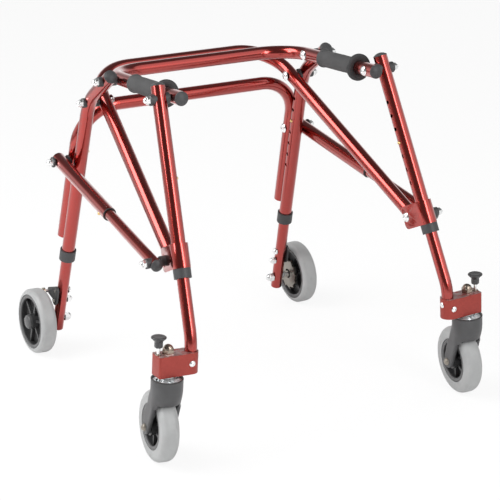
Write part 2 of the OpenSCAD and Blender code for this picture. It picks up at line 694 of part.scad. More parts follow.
// Caps, collars and spacers of the front legs
module front_leg_fittings() color(BLACK) both() {
    front_frame() {
        translate([0, 0, front_top]) end_plug(tube_d, bore_d, 8, 2);
        translate([0, 0, front_upper_end]) collar(front_collar_h - FINE);
    }
    difference() {
        union() {
            x_ring(pivot_c, open_c_x + 0.6, pivot_c.x - tube_r / 2, spacer_dia, bolt_d + FINE);
            x_ring(pivot_c, pivot_c.x + tube_r / 2, nut_c_x, spacer_dia, bolt_d + FINE);
        }
        front_frame() cylinder(d = tube_d + FINE, h = front_top + BIG);
    }
    x_ring(pivot_d, seat_d_x, open_d_x, spacer_dia - 2, bolt_d + FINE);
}

// Stays
// The direction that a stay's button points in
module stay_button_frame() stay_frame() translate([0, 0, stay_button_at]) rotate([0, 0, 180 - stay_button_turn]) children();
module stay_outer() color(RED) difference() {
    stay_frame() {
        pipe(tube_d, stay_bore_d, -stay_past, stay_outer_l);
        translate([0, 0, -stay_past]) rotate([180, 0, 0]) dome(tube_d, dome_h);
    }
    bolt_e_frame() x_rod(ORIGIN, stay_e_out - BIG / 8, stay_e_out + BIG / 8, run_d);
    stay_button_frame() rotate([0, -90, 0]) cylinder(d = button_run_d, h = tube_d);
}
module stay_outer_left() left() stay_outer();
module stay_outer_right() right() stay_outer();
module stay_bush() color(BLACK) stay_frame() translate([0, 0, stay_outer_l]) difference() {
    union() {
        translate([0, 0, -12]) cylinder(d = stay_bore_d - 2 * FINE, h = 12);
        cylinder(d = tube_d - 0.4, h = 1.2);
    }
    translate([0, 0, -13]) cylinder(d = stay_inner_d + 0.6, h = 20);
}
module stay_bush_left() left() stay_bush();
module stay_bush_right() right() stay_bush();
module stay_inner() color(RED) difference() {
    stay_frame() pipe(stay_inner_d, stay_inner_bore_d, stay_inner_start, stay_l + stay_past);
    x_rod(pivot_d, stay_front_x - BIG / 8, stay_front_x + BIG / 8, bolt_d);
    stay_button_frame() rotate([0, -90, 0]) {
        cylinder(d = lock_hole_d, h = stay_inner_d);
        translate([stay_slot, 0, 0]) cylinder(d = lock_hole_d, h = stay_inner_d);
        translate([0, -lock_hole_d / 2, 0]) cube([stay_slot, lock_hole_d, stay_inner_d]);
    }
}
module stay_inner_left() left() stay_inner();
module stay_inner_right() right() stay_inner();
nut_d_x = stay_front_x + stay_inner_d / 2 + washer_t + 3;
module stay_plug() color(BLACK) {
    stay_frame() translate([0, 0, stay_l + stay_past]) end_plug(stay_inner_d + 2, stay_inner_bore_d, 4, 3);
    difference() {
        x_ring(pivot_d, stay_front_x + stay_inner_d / 4, nut_d_x, spacer_dia - 2, bolt_d + FINE);
        stay_frame() cylinder(d = stay_inner_d + FINE, h = BIG * 2);
    }
}
module stay_plug_left() left() stay_plug();
module stay_plug_right() right() stay_plug();
module stay_bolt() color(STEEL) {
    x_rod(pivot_d, open_d_x + 0.6, nut_d_x + nut_h - nut_af * 0.45 - 1, bolt_d - FINE);
    nut_at(pivot_d, nut_d_x);
}
module stay_bolt_left() left() stay_bolt();
module stay_bolt_right() right() stay_bolt();
module stay_button() color(BRASS) stay_button_frame() snap_button(tube_r, stay_inner_bore_d / 2);
module stay_button_left() left() stay_button();
module stay_button_right() right() stay_button();

// Front lower legs: a bent tube from the upper leg down into the caster block
foot_x_way = -sin(front_splay) * cos(stem_tilt) + cos(front_splay) * cos(front_lean) * sin(stem_tilt);
foot_y_way = cos(front_splay) * sin(front_lean);
foot_z_way = sin(front_splay) * sin(stem_tilt) + cos(front_splay) * cos(front_lean) * cos(stem_tilt);
foot_bend = acos(foot_z_way);
foot_twist = atan2(-foot_x_way, foot_y_way);
foot_cut = foot_r * tan(foot_bend / 2);
module front_leg_lower() color(RED) difference() {
    translate(front_foot) rotate([0, -stem_tilt, 0]) rotate([0, 0, foot_twist]) {
        pipe(lower_d, lower_bore_d, block_low + 4 - foot_z, LAP - foot_cut);
        translate([0, 0, -foot_cut]) rotate([0, 0, 180]) pipe_bend(lower_d, lower_bore_d, foot_r, foot_bend);
        rotate([-foot_bend, 0, 0]) pipe(lower_d, lower_bore_d, foot_cut - LAP, front_button_up + top_past_button);
    }
    front_frame() translate([0, 0, front_button_up]) rotate([0, -90, 0]) cylinder(d = button_run_d, h = tube_d);
}
module front_leg_lower_left() left() front_leg_lower();
module front_leg_lower_right() right() front_leg_lower();
module front_button() color(BRASS)
    front_frame() translate([0, 0, front_button_up]) snap_button(tube_r, lower_bore_d / 2);
module front_button_left() left() front_button();
module front_button_right() right() front_button();

// Caster block, round at the leg, with soft corners at its outer end
screw_d = 11;
block_corner = 4;
screw_h = 2.5;
module caster_block() color(RED) tilted() difference() {
    translate([0, -foot_y, block_low]) linear_extrude(block_h) {
        translate([foot_x + block_round_in, 0]) circle(d = block_depth);
        translate([foot_x + block_round_in, -block_depth / 2])
            square([block_end_x - foot_x - block_round_in - block_corner, block_depth]);
        translate([foot_x + block_round_in, -block_depth / 2 + block_corner])
            square([block_end_x - foot_x - block_round_in, block_depth - 2 * block_corner]);
        for (side = [-1, 1]) translate([block_end_x - block_corner, side * (block_depth / 2 - block_corner)])
            circle(r = block_corner);
    }
    translate([foot_x, -foot_y, block_low + 4]) cylinder(d = lower_d + 2 * FINE, h = BIG);
    translate([stem_x, -foot_y, block_low - 1]) cylinder(d = stem_d, h = BIG);
    translate([lock_x, -foot_y, block_low - 1]) cylinder(d = lock_pin_d + 2 * run_gap, h = BIG);
    side_screw_seat() cylinder(d = screw_d + 1, h = block_depth);
}
// A flat seat for the screw in the block's round end
module side_screw_seat() translate([foot_x + block_round_in - block_depth / 2 + 0.7, -foot_y, block_low + block_h * 0.68])
    rotate([0, -90, 0]) children();
module caster_block_left() left() caster_block();
module caster_block_right() right() caster_block();
module block_screw() difference() {
    dome(screw_d, screw_h);
    translate([0, 0, screw_h - 1]) cylinder(d = 4, h = 2, $fn = 6);
}
module block_fasteners() color(STEEL) {
    stem_frame() {
        translate([0, 0, block_top]) acorn_nut_on_stem();
        translate([lock_out, 0, block_top]) linear_extrude(1.5) ring(lock_pin_d + 4, lock_pin_d + 0.8);
        translate([0, 0, plate_top - plate_t - 7]) cylinder(d = stem_d + 8, h = 6.6, $fn = 6);
        translate([0, 0, plate_top - plate_t - 1]) cylinder(d = stem_d, h = block_top - plate_top + plate_t + 5);
        difference() {
            translate([0, 0, plate_top + 0.3]) cylinder(d = bushing_d, h = block_low - plate_top - 0.3);
            cylinder(d = stem_d, h = block_top);
        }
    }
    tilted() translate([foot_x + 4, -foot_y - block_depth / 2, block_low + block_h * 0.5]) rotate([90, 0, 0]) block_screw();
    tilted() side_screw_seat() block_screw();
}
module acorn_nut_on_stem() let (r = stem_nut_af * 0.47) difference() {
    union() {
        cylinder(d = stem_nut_af / cos(30), h = stem_nut_h - r, $fn = 6);
        translate([0, 0, stem_nut_h - r]) sphere(r = r);
    }
    translate([0, 0, -1]) cylinder(d = stem_d, h = stem_nut_h - r + 1);
}
module block_fasteners_left() left() block_fasteners();
module block_fasteners_right() right() block_fasteners();

// Swivel locks, drawn open: pushed down, the pin drops into a hole of the fork's plate
knob_low = block_top + lock_raise;
module lock_knob() color(BLACK) tilted() translate([lock_x, -foot_y, knob_low]) {
    cylinder(d1 = knob_neck_d - 2, d2 = knob_neck_d, h = 3);
    translate([0, 0, 3]) cylinder(d = knob_neck_d, h = knob_neck_l - 3);
    translate([0, 0, knob_neck_l - 1]) cylinder(d1 = knob_neck_d, d2 = knob_d, h = 4);
    translate([0, 0, knob_neck_l + 3]) cylinder(d = knob_d, h = knob_t - 4);
    translate([0, 0, knob_neck_l + knob_t - 1]) dome(knob_d, 2.5);
}
module lock_knob_left() left() lock_knob();
module lock_knob_right() right() lock_knob();
module lock_pin() color(STEEL) tilted() translate([lock_x, -foot_y, plate_top + 1])
    cylinder(d = lock_pin_d, h = knob_low - plate_top - 1);
module lock_pin_left() left() lock_pin();
module lock_pin_right() right() lock_pin();

// Caster fork: a round top with two arms that trail back to the axle
axle_r = arm_end_d / 2;
module arm_outline(axle_z) {
    translate([trail, axle_z]) circle(r = axle_r);
    polygon([
        [-arm_top_w / 2 + arm_set_back, cup_top - 35], [trail - axle_r * 0.93, axle_z - axle_r * 0.36],
        [trail + axle_r * 0.95, axle_z + axle_r * 0.30], [arm_top_w / 2, cup_top - 26],
        [arm_top_w / 2 - 4, cup_top - 20], [-arm_top_w / 2 + arm_set_back + 4, cup_top - 20]
    ]);
}
module caster_fork(turn) color(BLACK) let (axle_at = [0, trail, caster_axle_z(turn)]) fork_frame(turn) difference() {
    union() {
        translate([0, 0, cup_low]) cylinder(d = cup_d, h = cup_h);
        for (side = [0, 1]) mirror([side, 0, 0]) translate([arm_in, 0, 0])
            rotate([90, 0, 90]) linear_extrude(arm_t) arm_outline(axle_at.z);
    }
    translate(axle_at) rotate([0, 90, 0]) cylinder(r = wheel_r + 4, h = 2 * arm_in, center = true);
    translate([0, 0, plate_top - plate_t]) cylinder(d = cup_d - 2 * cup_wall, h = cup_h);
    translate([0, 0, plate_top - plate_t - 8]) cylinder(d = stem_d + 14, h = cup_h);
    translate(axle_at) rotate([0, 90, 0]) cylinder(d = axle_d, h = BIG, center = true);
}
module caster_fork_left() left() caster_fork(caster_turn);
module caster_fork_right() right() caster_fork(-caster_turn);
// The fork's steel plate with its lock holes, and the axle bolt with a head and a nut
module fork_hardware(turn) color(STEEL) {
    stem_frame() difference() {
        translate([0, 0, plate_top - plate_t]) cylinder(d = cup_d - 2 * cup_wall - 2 * FINE, h = plate_t);
        cylinder(d = stem_d + 2 * run_gap, h = BIG);
        for (turn = [0:90:270]) rotate([0, 0, turn]) translate([lock_out, 0, 0])
            cylinder(d = lock_pin_d + 1, h = BIG);
    }
    fork_frame(turn) translate([0, trail, caster_axle_z(turn)]) {
        rotate([0, 90, 0]) cylinder(d = axle_d, h = 2 * (arm_in + arm_t) + 8, center = true);
        for (side = [0, 1]) mirror([side, 0, 0]) translate([arm_in + arm_t, 0, 0]) rotate([0, 90, 0])
            difference() {
                dome(axle_d + 6, 6);
                translate([0, 0, -1]) cylinder(d = axle_d, h = 5);
            }
    }
}
module fork_hardware_left() left() fork_hardware(caster_turn);
module fork_hardware_right() right() fork_hardware(-caster_turn);

// Wheels, with the axle along X through the origin
module tyre(rim, r) rotate([0, 90, 0]) rotate_extrude() difference() {
    union() {
        translate([rim, -tyre_w / 2]) square([wheel_r - r - rim, tyre_w]);
        translate([rim, -tyre_w / 2 + r]) square([wheel_r - rim, tyre_w - 2 * r]);
        for (side = [-1, 1]) translate([wheel_r - r, side * (tyre_w / 2 - r)]) circle(r = r);
    }
    translate([rim - BIG, -BIG / 2]) square([BIG, BIG]);
}
rim_t = 7;
web_t = 6;
module hub(half, rim) rotate([0, 90, 0]) difference() {
    union() {
        translate([0, 0, -tyre_w / 2 + 2]) linear_extrude(tyre_w - 4) ring(2 * (rim - FINE), 2 * (rim - rim_t));
        translate([0, 0, -web_t / 2]) cylinder(r = rim - rim_t / 2, h = web_t);
        translate([0, 0, -half]) cylinder(d = boss_d, h = 2 * half);
        for (turn = [0:360 / hub_ribs:359]) rotate([0, 0, turn])
            translate([boss_d / 2 - 2, -2.5, -tyre_w / 2 + 6]) cube([rim - rim_t - boss_d / 2 + 4, 5, tyre_w - 12]);
    }
    cylinder(d = axle_run_d, h = BIG, center = true);
}
module caster_wheel_frame(turn) fork_frame(turn) translate([0, trail, caster_axle_z(turn)]) children();
module caster_tyre(turn) color(TYRE) caster_wheel_frame(turn) tyre(rim_r, shoulder_r);
module caster_tyre_left() left() caster_tyre(caster_turn);
module caster_tyre_right() right() caster_tyre(-caster_turn);
module caster_hub(turn) color(BLACK) caster_wheel_frame(turn) hub(hub_half, rim_r);
module caster_hub_left() left() caster_hub(caster_turn);
module caster_hub_right() right() caster_hub(-caster_turn);

// Rear lower legs
stop_bolt_d = 6;
module rear_leg_lower() color(RED) rear_frame() difference() {
    union() {
        pipe(lower_d, lower_bore_d, -rear_toe, rear_button_up + top_past_button);
        translate([0, 0, -rear_toe]) rotate([180, 0, 0]) dome(lower_d, dome_h);
    }
    rotate([0, 90, 0]) cylinder(d = axle_d, h = BIG / 4, center = true);
    for (up = [stop_bolt_low, stop_bolt_high]) translate([0, 0, up]) rotate([0, 90, 0])
        cylinder(d = stop_bolt_d, h = BIG / 4, center = true);
    translate([0, 0, rear_button_up]) rotate([0, -90, 0]) cylinder(d = button_run_d, h = tube_d);
}
module rear_leg_lower_left() left() rear_leg_lower();
module rear_leg_lower_right() right() rear_leg_lower();
module rear_button() color(BRASS)
    rear_frame() translate([0, 0, rear_button_up]) snap_button(tube_r, lower_bore_d / 2);
module rear_button_left() left() rear_button();
module rear_button_right() right() rear_button();

// Rear axle, the bracket's bolts and the pawl's pin
pawl_pin_d = 6;
leg_side_x = lower_d / 2 + FINE;
axle_end_x = rear_wheel_out + tyre_w / 2 + 0.5;
pawl_at = [0, pawl_pin.x, pawl_pin.y];
module rear_axle() color(STEEL) rear_frame() {
    x_rod([0, 0, 0], -leg_side_x - nut_h / 2, axle_end_x, axle_d);
    translate([axle_end_x, 0, 0]) rotate([0, 90, 0]) dome(axle_d + 8, 4);
    translate([-leg_side_x, 0, 0]) rotate([0, -90, 0]) acorn_nut(nut_af + 3, nut_h + 3);
    difference() {
        x_ring([0, 0, 0], lower_d / 4, ratchet_x - 0.4, axle_d + 6, axle_d);
        translate([0, 0, -rear_toe]) cylinder(d = lower_d + FINE, h = BIG / 4);
    }
    for (up = [stop_bolt_low, stop_bolt_high]) let (at = [0, 0, up]) {
        translate([-leg_side_x, 0, up]) rotate([0, -90, 0]) if (up == stop_bolt_low) acorn_nut(nut_af, nut_h);
            else dome(stop_bolt_d + 8, 6.5);
        x_rod(at, -leg_side_x, stop_plate_x + stop_plate_t + 1, stop_bolt_d);
    }
    x_rod(pawl_at, stop_plate_x, ratchet_x + pawl_t + 0.4, pawl_pin_d);
}
module rear_axle_left() left() rear_axle();
module rear_axle_right() right() rear_axle();

// The bracket is a plate on the outside of the leg that reaches back to the pawl's pin
bracket_pad = 9;
pin_pad = 7;
module pawl_bracket() color(BLACK) rear_frame() difference() {
    translate([stop_plate_x, 0, 0]) rotate([90, 0, 90]) union() {
        for (up = [stop_bolt_low, stop_bolt_high]) translate([0, up]) cylinder(r = bracket_pad, h = stop_plate_t);
        translate(pawl_pin) cylinder(r = pin_pad, h = stop_plate_t);
        linear_extrude(stop_plate_t) polygon([
            [-bracket_pad + FINE, stop_bolt_low], [-bracket_pad + FINE, stop_bolt_high],
            [4.6, stop_bolt_high + 7.6], [pawl_pin.x + 3, pawl_pin.y + 6.2],
            [pawl_pin.x, pawl_pin.y - pin_pad + FINE], [bracket_pad + 2, pawl_pin.y - pin_pad + FINE],
            [bracket_pad - FINE, stop_bolt_low]
        ]);
    }
    for (up = [stop_bolt_low, stop_bolt_high]) x_rod([0, 0, up], 0, BIG, stop_bolt_d);
    x_rod(pawl_at, 0, BIG, pawl_pin_d);
}
module pawl_bracket_left() left() pawl_bracket();
module pawl_bracket_right() right() pawl_bracket();

// Rear wheels with their ratchet rings
module rear_wheel_frame() rear_frame() translate([rear_wheel_out, 0, 0]) children();
module rear_tyre() color(TYRE) rear_wheel_frame() tyre(rear_rim_r, rear_shoulder_r);
module rear_tyre_left() left() rear_tyre();
module rear_tyre_right() right() rear_tyre();
ratchet_step = 360 / ratchet_teeth;
ratchet_root = ratchet_d / 2 - tooth_h;
ratchet_tilt = atan2(pawl_pin_z, pawl_pin_y);
module ratchet_outline() polygon([
    for (tooth = [0:ratchet_teeth - 1], edge = [0, 1]) let (
        r = edge == 0 ? ratchet_root : ratchet_d / 2,
        turn = ratchet_tilt - (tooth + edge * 0.92) * ratchet_step
    ) [r * cos(turn), r * sin(turn)]
]);
module ratchet_ring() translate([ratchet_x, 0, 0]) rotate([90, 0, 90])
    linear_extrude(ratchet_t + 1) difference() {
        ratchet_outline();
        circle(d = boss_d - 10);
    }
module rear_hub() color(BLACK) {
    rear_wheel_frame() hub(tyre_w / 2, rear_rim_r);
    rear_frame() ratchet_ring();
}
module rear_hub_left() left() rear_hub();
module rear_hub_right() right() rear_hub();

// The pawl hangs from its pin, with its tip in a tooth gap
pawl_arm = norm([pawl_pin_y, pawl_pin_z]);
pawl_room = 0.6;
// The pawl is thinner than the ratchet, so that it stays clear of the tyre
pawl_t = ratchet_t - 1.2;
module pawl() color(BLACK) rear_frame() translate([ratchet_x, pawl_pin.x, pawl_pin.y]) rotate([90, 0, 90]) difference() {
    union() {
        cylinder(d = 15, h = pawl_t);
        translate([0, 0, FINE]) rotate([0, 0, ratchet_tilt]) linear_extrude(pawl_t - 2 * FINE) polygon([
            [-pawl_arm + ratchet_root + 1.5, -pawl_room], [-pawl_arm + ratchet_root + 1.5, -pawl_room - 5],
            [0, -5], [0, 4]
        ]);
    }
    translate([0, 0, -1]) cylinder(d = pawl_pin_d + 2 * run_gap, h = pawl_t + 2);
}
module pawl_left() left() pawl();
module pawl_right() right() pawl();

rear_legs();
back_bar();
rear_leg_fittings();
pivot_spacers();
pivot_bolts();
handle_bar();
hand_grips();
handle_plugs();
handle_bolts();
diagonal_bar();
front_legs();
front_brackets();
front_leg_fittings();
front_bolts();
stay_outer_left();
stay_outer_right();
stay_bush_left();
stay_bush_right();
stay_inner_left();
stay_inner_right();
stay_plug_left();
stay_plug_right();
stay_bolt_left();
stay_bolt_right();
stay_button_left();
stay_button_right();
front_leg_lower_left();
front_leg_lower_right();
caster_block_left();
caster_block_right();
block_fasteners_left();
block_fasteners_right();
front_button_left();
front_button_right();
lock_knob_left();
lock_knob_right();
lock_pin_left();
lock_pin_right();
caster_fork_left();
caster_fork_right();
fork_hardware_left();
fork_hardware_right();
caster_tyre_left();
caster_tyre_right();
caster_hub_left();
caster_hub_right();
rear_leg_lower_left();
rear_leg_lower_right();
pawl_bracket_left();
pawl_bracket_right();
rear_axle_left();
rear_axle_right();
rear_button_left();
rear_button_right();
rear_tyre_left();
rear_tyre_right();
rear_hub_left();
rear_hub_right();
pawl_left();
pawl_right();
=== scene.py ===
"""Looks of a folding posterior walker: finishes, soft and moulded pieces, and a plain studio."""

import json
import math

import bpy
from bpy.props import FloatProperty, FloatVectorProperty, PointerProperty
from mathutils import Matrix, Vector


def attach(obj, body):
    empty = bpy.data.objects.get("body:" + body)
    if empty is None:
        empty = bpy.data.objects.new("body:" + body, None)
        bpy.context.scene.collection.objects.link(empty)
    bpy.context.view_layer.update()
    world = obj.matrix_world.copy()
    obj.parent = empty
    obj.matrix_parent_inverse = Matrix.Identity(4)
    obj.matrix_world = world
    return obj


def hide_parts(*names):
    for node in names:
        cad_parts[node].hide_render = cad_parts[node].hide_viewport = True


bl_info = {
    "name": "Posterior walker",
    "version": (1, 0, 0),
    "blender": (4, 5, 0),
    "location": "View3D > Sidebar > Walker",
    "description": "Finishes, moulded pieces and studio of a folding posterior walker",
    "category": "Object",
}

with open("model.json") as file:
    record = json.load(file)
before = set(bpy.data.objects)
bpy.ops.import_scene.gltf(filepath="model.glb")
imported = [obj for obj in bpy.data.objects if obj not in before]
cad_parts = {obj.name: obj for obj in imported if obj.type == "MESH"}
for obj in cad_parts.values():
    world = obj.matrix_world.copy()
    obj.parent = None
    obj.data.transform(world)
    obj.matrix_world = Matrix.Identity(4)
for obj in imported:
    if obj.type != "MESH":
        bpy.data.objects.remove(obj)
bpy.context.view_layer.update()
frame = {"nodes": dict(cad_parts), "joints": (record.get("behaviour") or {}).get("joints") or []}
NODES = frame["nodes"]
JOINTS = {joint["name"]: joint for joint in frame["joints"]}
SIDES = ("left", "right")
MM = 0.001

# Places on the walker's left side, in millimetres
PIVOT_A = (226.6, 75.93, 582.79)
PIVOT_C = (227.8, -138.36, 598.66)
HANDLE_X = 197.0
TUBE_R = 12.7
FRONT_FOOT = (262.0, -314.0, 222.0)
STEM_OUT = 43.0
STEM_TILT = 3.0
BLOCK_TOP = 204.0
LOCK_OUT = 18.5
LOCK_RAISE = 13.0
CUP_TOP = 160.0
CUP_R = 28.0
CROWN_TOP = 142.2
CROWN_LOW = 106.0
CROWN_LAP = 2.0
CASTER_TURN = -5.0
CASTER_TRAIL = 29.0
CASTER_AXLE_Z = 61.2
ARM_IN = 19.0
ARM_OUT = 27.0
WHEEL_ROOM_R = 67.5
WHEEL_RIMS = {"caster": 41.5, "rear": 53.5}
TYRE_HALF = 16.0
RIM_HALF = 14.0
RATCHET_IN = 16.4
STEM_NUT_LOW = 207.0
FORK_AXLE_HIGH = 110.0
COLOUR_SEAM = 0.2
FORK_VOXEL = 1.1

# The studio, in metres
FLOOR_SIZE = 24.0
CAMERA_AT = (-1.6954, -3.0990, 1.4636)
CAMERA_WAY = (0.459, 0.826, -0.326)
CAMERA_SENSOR = 36.0
CAMERA_NEAR = 0.05
CAMERA_FAR = 60.0
FRONT_LAMP_AT = (0.3, -2.4, 1.5)
FRONT_LAMP_AIM = (0.0, -0.1, 0.35)
SIDE_LAMP_AT = (-2.9, -0.2, 1.7)
TOP_LAMP_AT = (-1.65, 0.55, 2.1)
LAMP_AIM = (0.0, 0.0, 0.35)

# What glossy surfaces see: directions of the dark side and the bright panel, and how strong these are
DARK_SIDE = (-0.744, -0.668, 0.25)
BRIGHT_PANEL = (0.46, -0.62, 0.63)
DIMMING = 0.84
PANEL_GAIN = 1.1


def turn_about(axis, degrees):
    """A turn about X, Y or Z."""
    return Matrix.Rotation(math.radians(degrees), 4, axis)


def shift(place):
    """A move given in millimetres."""
    return Matrix.Translation(Vector(place) * MM)


def mirrored(place, side):
    """A placing on the left side, or its mirror image on the right one."""
    if side == "left":
        return place
    return Matrix.Diagonal((-1, 1, 1, 1)) @ place


def wheel_axis(wheel, side):
    """A wheel's centre in metres, and the outward direction of its axle."""
    joint = JOINTS[f"{wheel}_spin_{side}"]
    centre = Vector(joint["pos_m"])
    axis = Vector(joint["axis"]).normalized()
    if axis.x * centre.x < 0:
        axis = -axis
    return centre, axis


def wheel_place(wheel, side):
    """A wheel's own frame: the origin at its centre, z outward along its axle."""
    centre, axis = wheel_axis(wheel, side)
    return Matrix.Translation(centre) @ axis.to_track_quat("Z", "Y").to_matrix().to_4x4()


def stem_place():
    """The caster's own frame: the origin under the swivel axis, sloped about the leg's foot."""
    foot = Vector(FRONT_FOOT)
    slope = shift(foot) @ turn_about("Y", -STEM_TILT) @ shift(-foot)
    return slope @ shift((FRONT_FOOT[0] + STEM_OUT, FRONT_FOOT[1], 0))


def fork_place(side):
    """A fork's own frame: as the caster's, turned so that y points back to its axle."""
    turn = CASTER_TURN if side == "left" else -CASTER_TURN
    return mirrored(stem_place() @ turn_about("Z", turn), side)


def handle_place():
    """The handle's own frame: the origin between the rear pivots, -y forward along the handle."""
    rise = PIVOT_C[2] - PIVOT_A[2]
    run = PIVOT_A[1] - PIVOT_C[1]
    lean = -math.degrees(math.atan2(rise, run))
    return shift((0, PIVOT_A[1], PIVOT_A[2])) @ turn_about("X", lean)


HANDLE_L = math.hypot(PIVOT_C[1] - PIVOT_A[1], PIVOT_C[2] - PIVOT_A[2])


# Modelling helpers
def nothing_selected():
    """Leaves object mode with nothing selected."""
    if bpy.context.object and bpy.context.object.mode != "OBJECT":
        bpy.ops.object.mode_set(mode="OBJECT")
    bpy.ops.object.select_all(action="DESELECT")


def only(piece):
    """Makes one piece the only selected and active one."""
    nothing_selected()
    piece.select_set(True)
    bpy.context.view_layer.objects.active = piece


def in_edit_mode(piece):
    """Opens a piece in edit mode with all of it selected."""
    only(piece)
    bpy.ops.object.mode_set(mode="EDIT")
    bpy.ops.mesh.select_all(action="SELECT")


def pick_points(piece, wanted):
    """Opens a piece in edit mode with only the points that a test picks selected."""
    in_edit_mode(piece)
    bpy.ops.mesh.select_all(action="DESELECT")
    bpy.ops.object.mode_set(mode="OBJECT")
    for point in piece.data.vertices:
        point.select = wanted(point.co)
    bpy.ops.object.mode_set(mode="EDIT")


def modify(piece, kind, **settings):
    """Adds a modifier, sets it and applies it."""
    only(piece)
    modifier = piece.modifiers.new(kind.title(), kind)
    for name, value in settings.items():
        setattr(modifier, name, value)
    bpy.ops.object.modifier_apply(modifier=modifier.name)


def smooth(piece, degrees):
    """Shades a piece smooth, apart from its sharp edges."""
    only(piece)
    bpy.ops.object.shade_smooth_by_angle(angle=math.radians(degrees))


def tidy_normals(piece):
    """Merges doubles and turns every face outward."""
    in_edit_mode(piece)
    bpy.ops.mesh.remove_doubles(threshold=1e-6)
    bpy.ops.mesh.normals_make_consistent(inside=False)
    bpy.ops.object.mode_set(mode="OBJECT")


def turned(name, profile, sides, ring=False):
    """A lathe piece about z, from (radius, height) pairs in millimetres; a ring's profile is closed."""
    nothing_selected()
    first_r, first_z = profile[0]
    bpy.ops.mesh.primitive_circle_add(vertices=sides, radius=first_r * MM, location=(0, 0, 0))
    piece = bpy.context.object
    piece.name = name
    in_edit_mode(piece)
    bpy.ops.transform.translate(value=(0, 0, first_z * MM))
    if not ring:
        bpy.ops.mesh.edge_face_add()
        bpy.ops.mesh.select_all(action="SELECT")
    points = list(profile[1:])
    if ring:
        points.append(profile[0])
    last_r, last_z = first_r, first_z
    for radius, height in points:
        bpy.ops.mesh.extrude_region_move(TRANSFORM_OT_translate={"value": (0, 0, (height - last_z) * MM)})
        grow = radius / last_r
        bpy.ops.transform.resize(value=(grow, grow, 1), center_override=(0, 0, 0))
        last_r, last_z = radius, height
    bpy.ops.object.mode_set(mode="OBJECT")
    tidy_normals(piece)
    return piece


def joined(first, second):
    """One piece out of two."""
    only(first)
    second.select_set(True)
    bpy.ops.object.join()
    return first


def put(piece, place):
    """Moves a piece's mesh to its place and leaves its object at the origin."""
    piece.data.transform(place @ piece.matrix_world)
    piece.matrix_world = Matrix.Identity(4)
    if place.determinant() < 0:
        piece.data.flip_normals()
    piece.data.update()


def copy_of_node(node, name):
    """A merged copy of a solid, to be softened."""
    piece = bpy.data.objects.new(name, NODES[node].data.copy())
    bpy.context.scene.collection.objects.link(piece)
    piece.data.materials.clear()
    tidy_normals(piece)
    return piece


def bevelled(piece, width):
    """Rounds a piece's sharp edges after its flat faces are joined up."""
    flat_degrees = 0.5
    sharp_degrees = 40
    in_edit_mode(piece)
    bpy.ops.mesh.dissolve_limited(angle_limit=math.radians(flat_degrees))
    bpy.ops.object.mode_set(mode="OBJECT")
    modify(
        piece, "BEVEL", width=width * MM, segments=3, limit_method="ANGLE",
        angle_limit=math.radians(sharp_degrees), use_clamp_overlap=True, miter_outer="MITER_ARC",
    )
    smooth(piece, sharp_degrees)


def settle(piece, body, material, slot, *stands_for):
    """Paints a finished piece, hides the solids that it stands for and lets it ride on a body."""
    piece.data.materials.clear()
    piece.data.materials.append(material)
    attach(piece, body)
    if stands_for:
        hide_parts(*stands_for)


def paint(material, *nodes):
    """Gives solids a finish."""
    for node in nodes:
        slots = NODES[node].data.materials
        slots.clear()
        slots.append(material)


def both(stem):
    """The names of a left and a right node."""
    return [f"{stem}_{side}" for side in SIDES]


# Shader helpers
class Value:
    """A number socket; Python's operators add Math nodes."""

    def __init__(self, nodes, socket):
        self.nodes = nodes
        self.socket = socket

    def maths(self, operation, first, second):
        """The result of one Math node."""
        node = self.nodes.add("Math", {"operation": operation}, {0: first, 1: second})
        return Value(self.nodes, node.outputs[0])

    def __add__(self, other):
        return self.maths("ADD", self, other)

    def __radd__(self, other):
        return self.maths("ADD", other, self)

    def __sub__(self, other):
        return self.maths("SUBTRACT", self, other)

    def __rsub__(self, other):
        return self.maths("SUBTRACT", other, self)

    def __mul__(self, other):
        return self.maths("MULTIPLY", self, other)

    def __rmul__(self, other):
        return self.maths("MULTIPLY", other, self)

    def size(self):
        """The number without its sign."""
        return self.maths("ABSOLUTE", self, 0.0)

    def over(self, low, high):
        """0 below low, 1 above high, and a smooth step between."""
        settings = {"interpolation_type": "SMOOTHSTEP"}
        node = self.nodes.add("MapRange", settings, {"Value": self, "From Min": low, "From Max": high})
        return Value(self.nodes, node.outputs[0])


class Nodes:
    """An empty node tree, and the one way in which nodes are added to it."""

    def __init__(self, tree):
        self.tree = tree
        self.tree.nodes.clear()

    def add(self, kind, settings, sockets):
        """Adds a node of one type, with its settings and the values or links of its sockets."""
        node = self.tree.nodes.new("ShaderNode" + kind)
        for name, value in settings.items():
            setattr(node, name, value)
        for name, value in sockets.items():
            self.link(value, node.inputs[name])
        return node

    def link(self, value, socket):
        """Sets a socket to a number or colour, or links another socket to it."""
        if isinstance(value, Value):
            value = value.socket
        if isinstance(value, bpy.types.NodeSocket):
            self.tree.links.new(value, socket)
        else:
            socket.default_value = value

    def part(self, place):
        """The x, y and z numbers of a place."""
        node = self.add("SeparateXYZ", {}, {"Vector": place})
        return [Value(self, socket) for socket in node.outputs]

    def along(self, direction, facing):
        """How nearly a direction points along another one."""
        sockets = {0: direction, 1: Vector(facing).normalized()}
        node = self.add("VectorMath", {"operation": "DOT_PRODUCT"}, sockets)
        return Value(self, node.outputs["Value"])


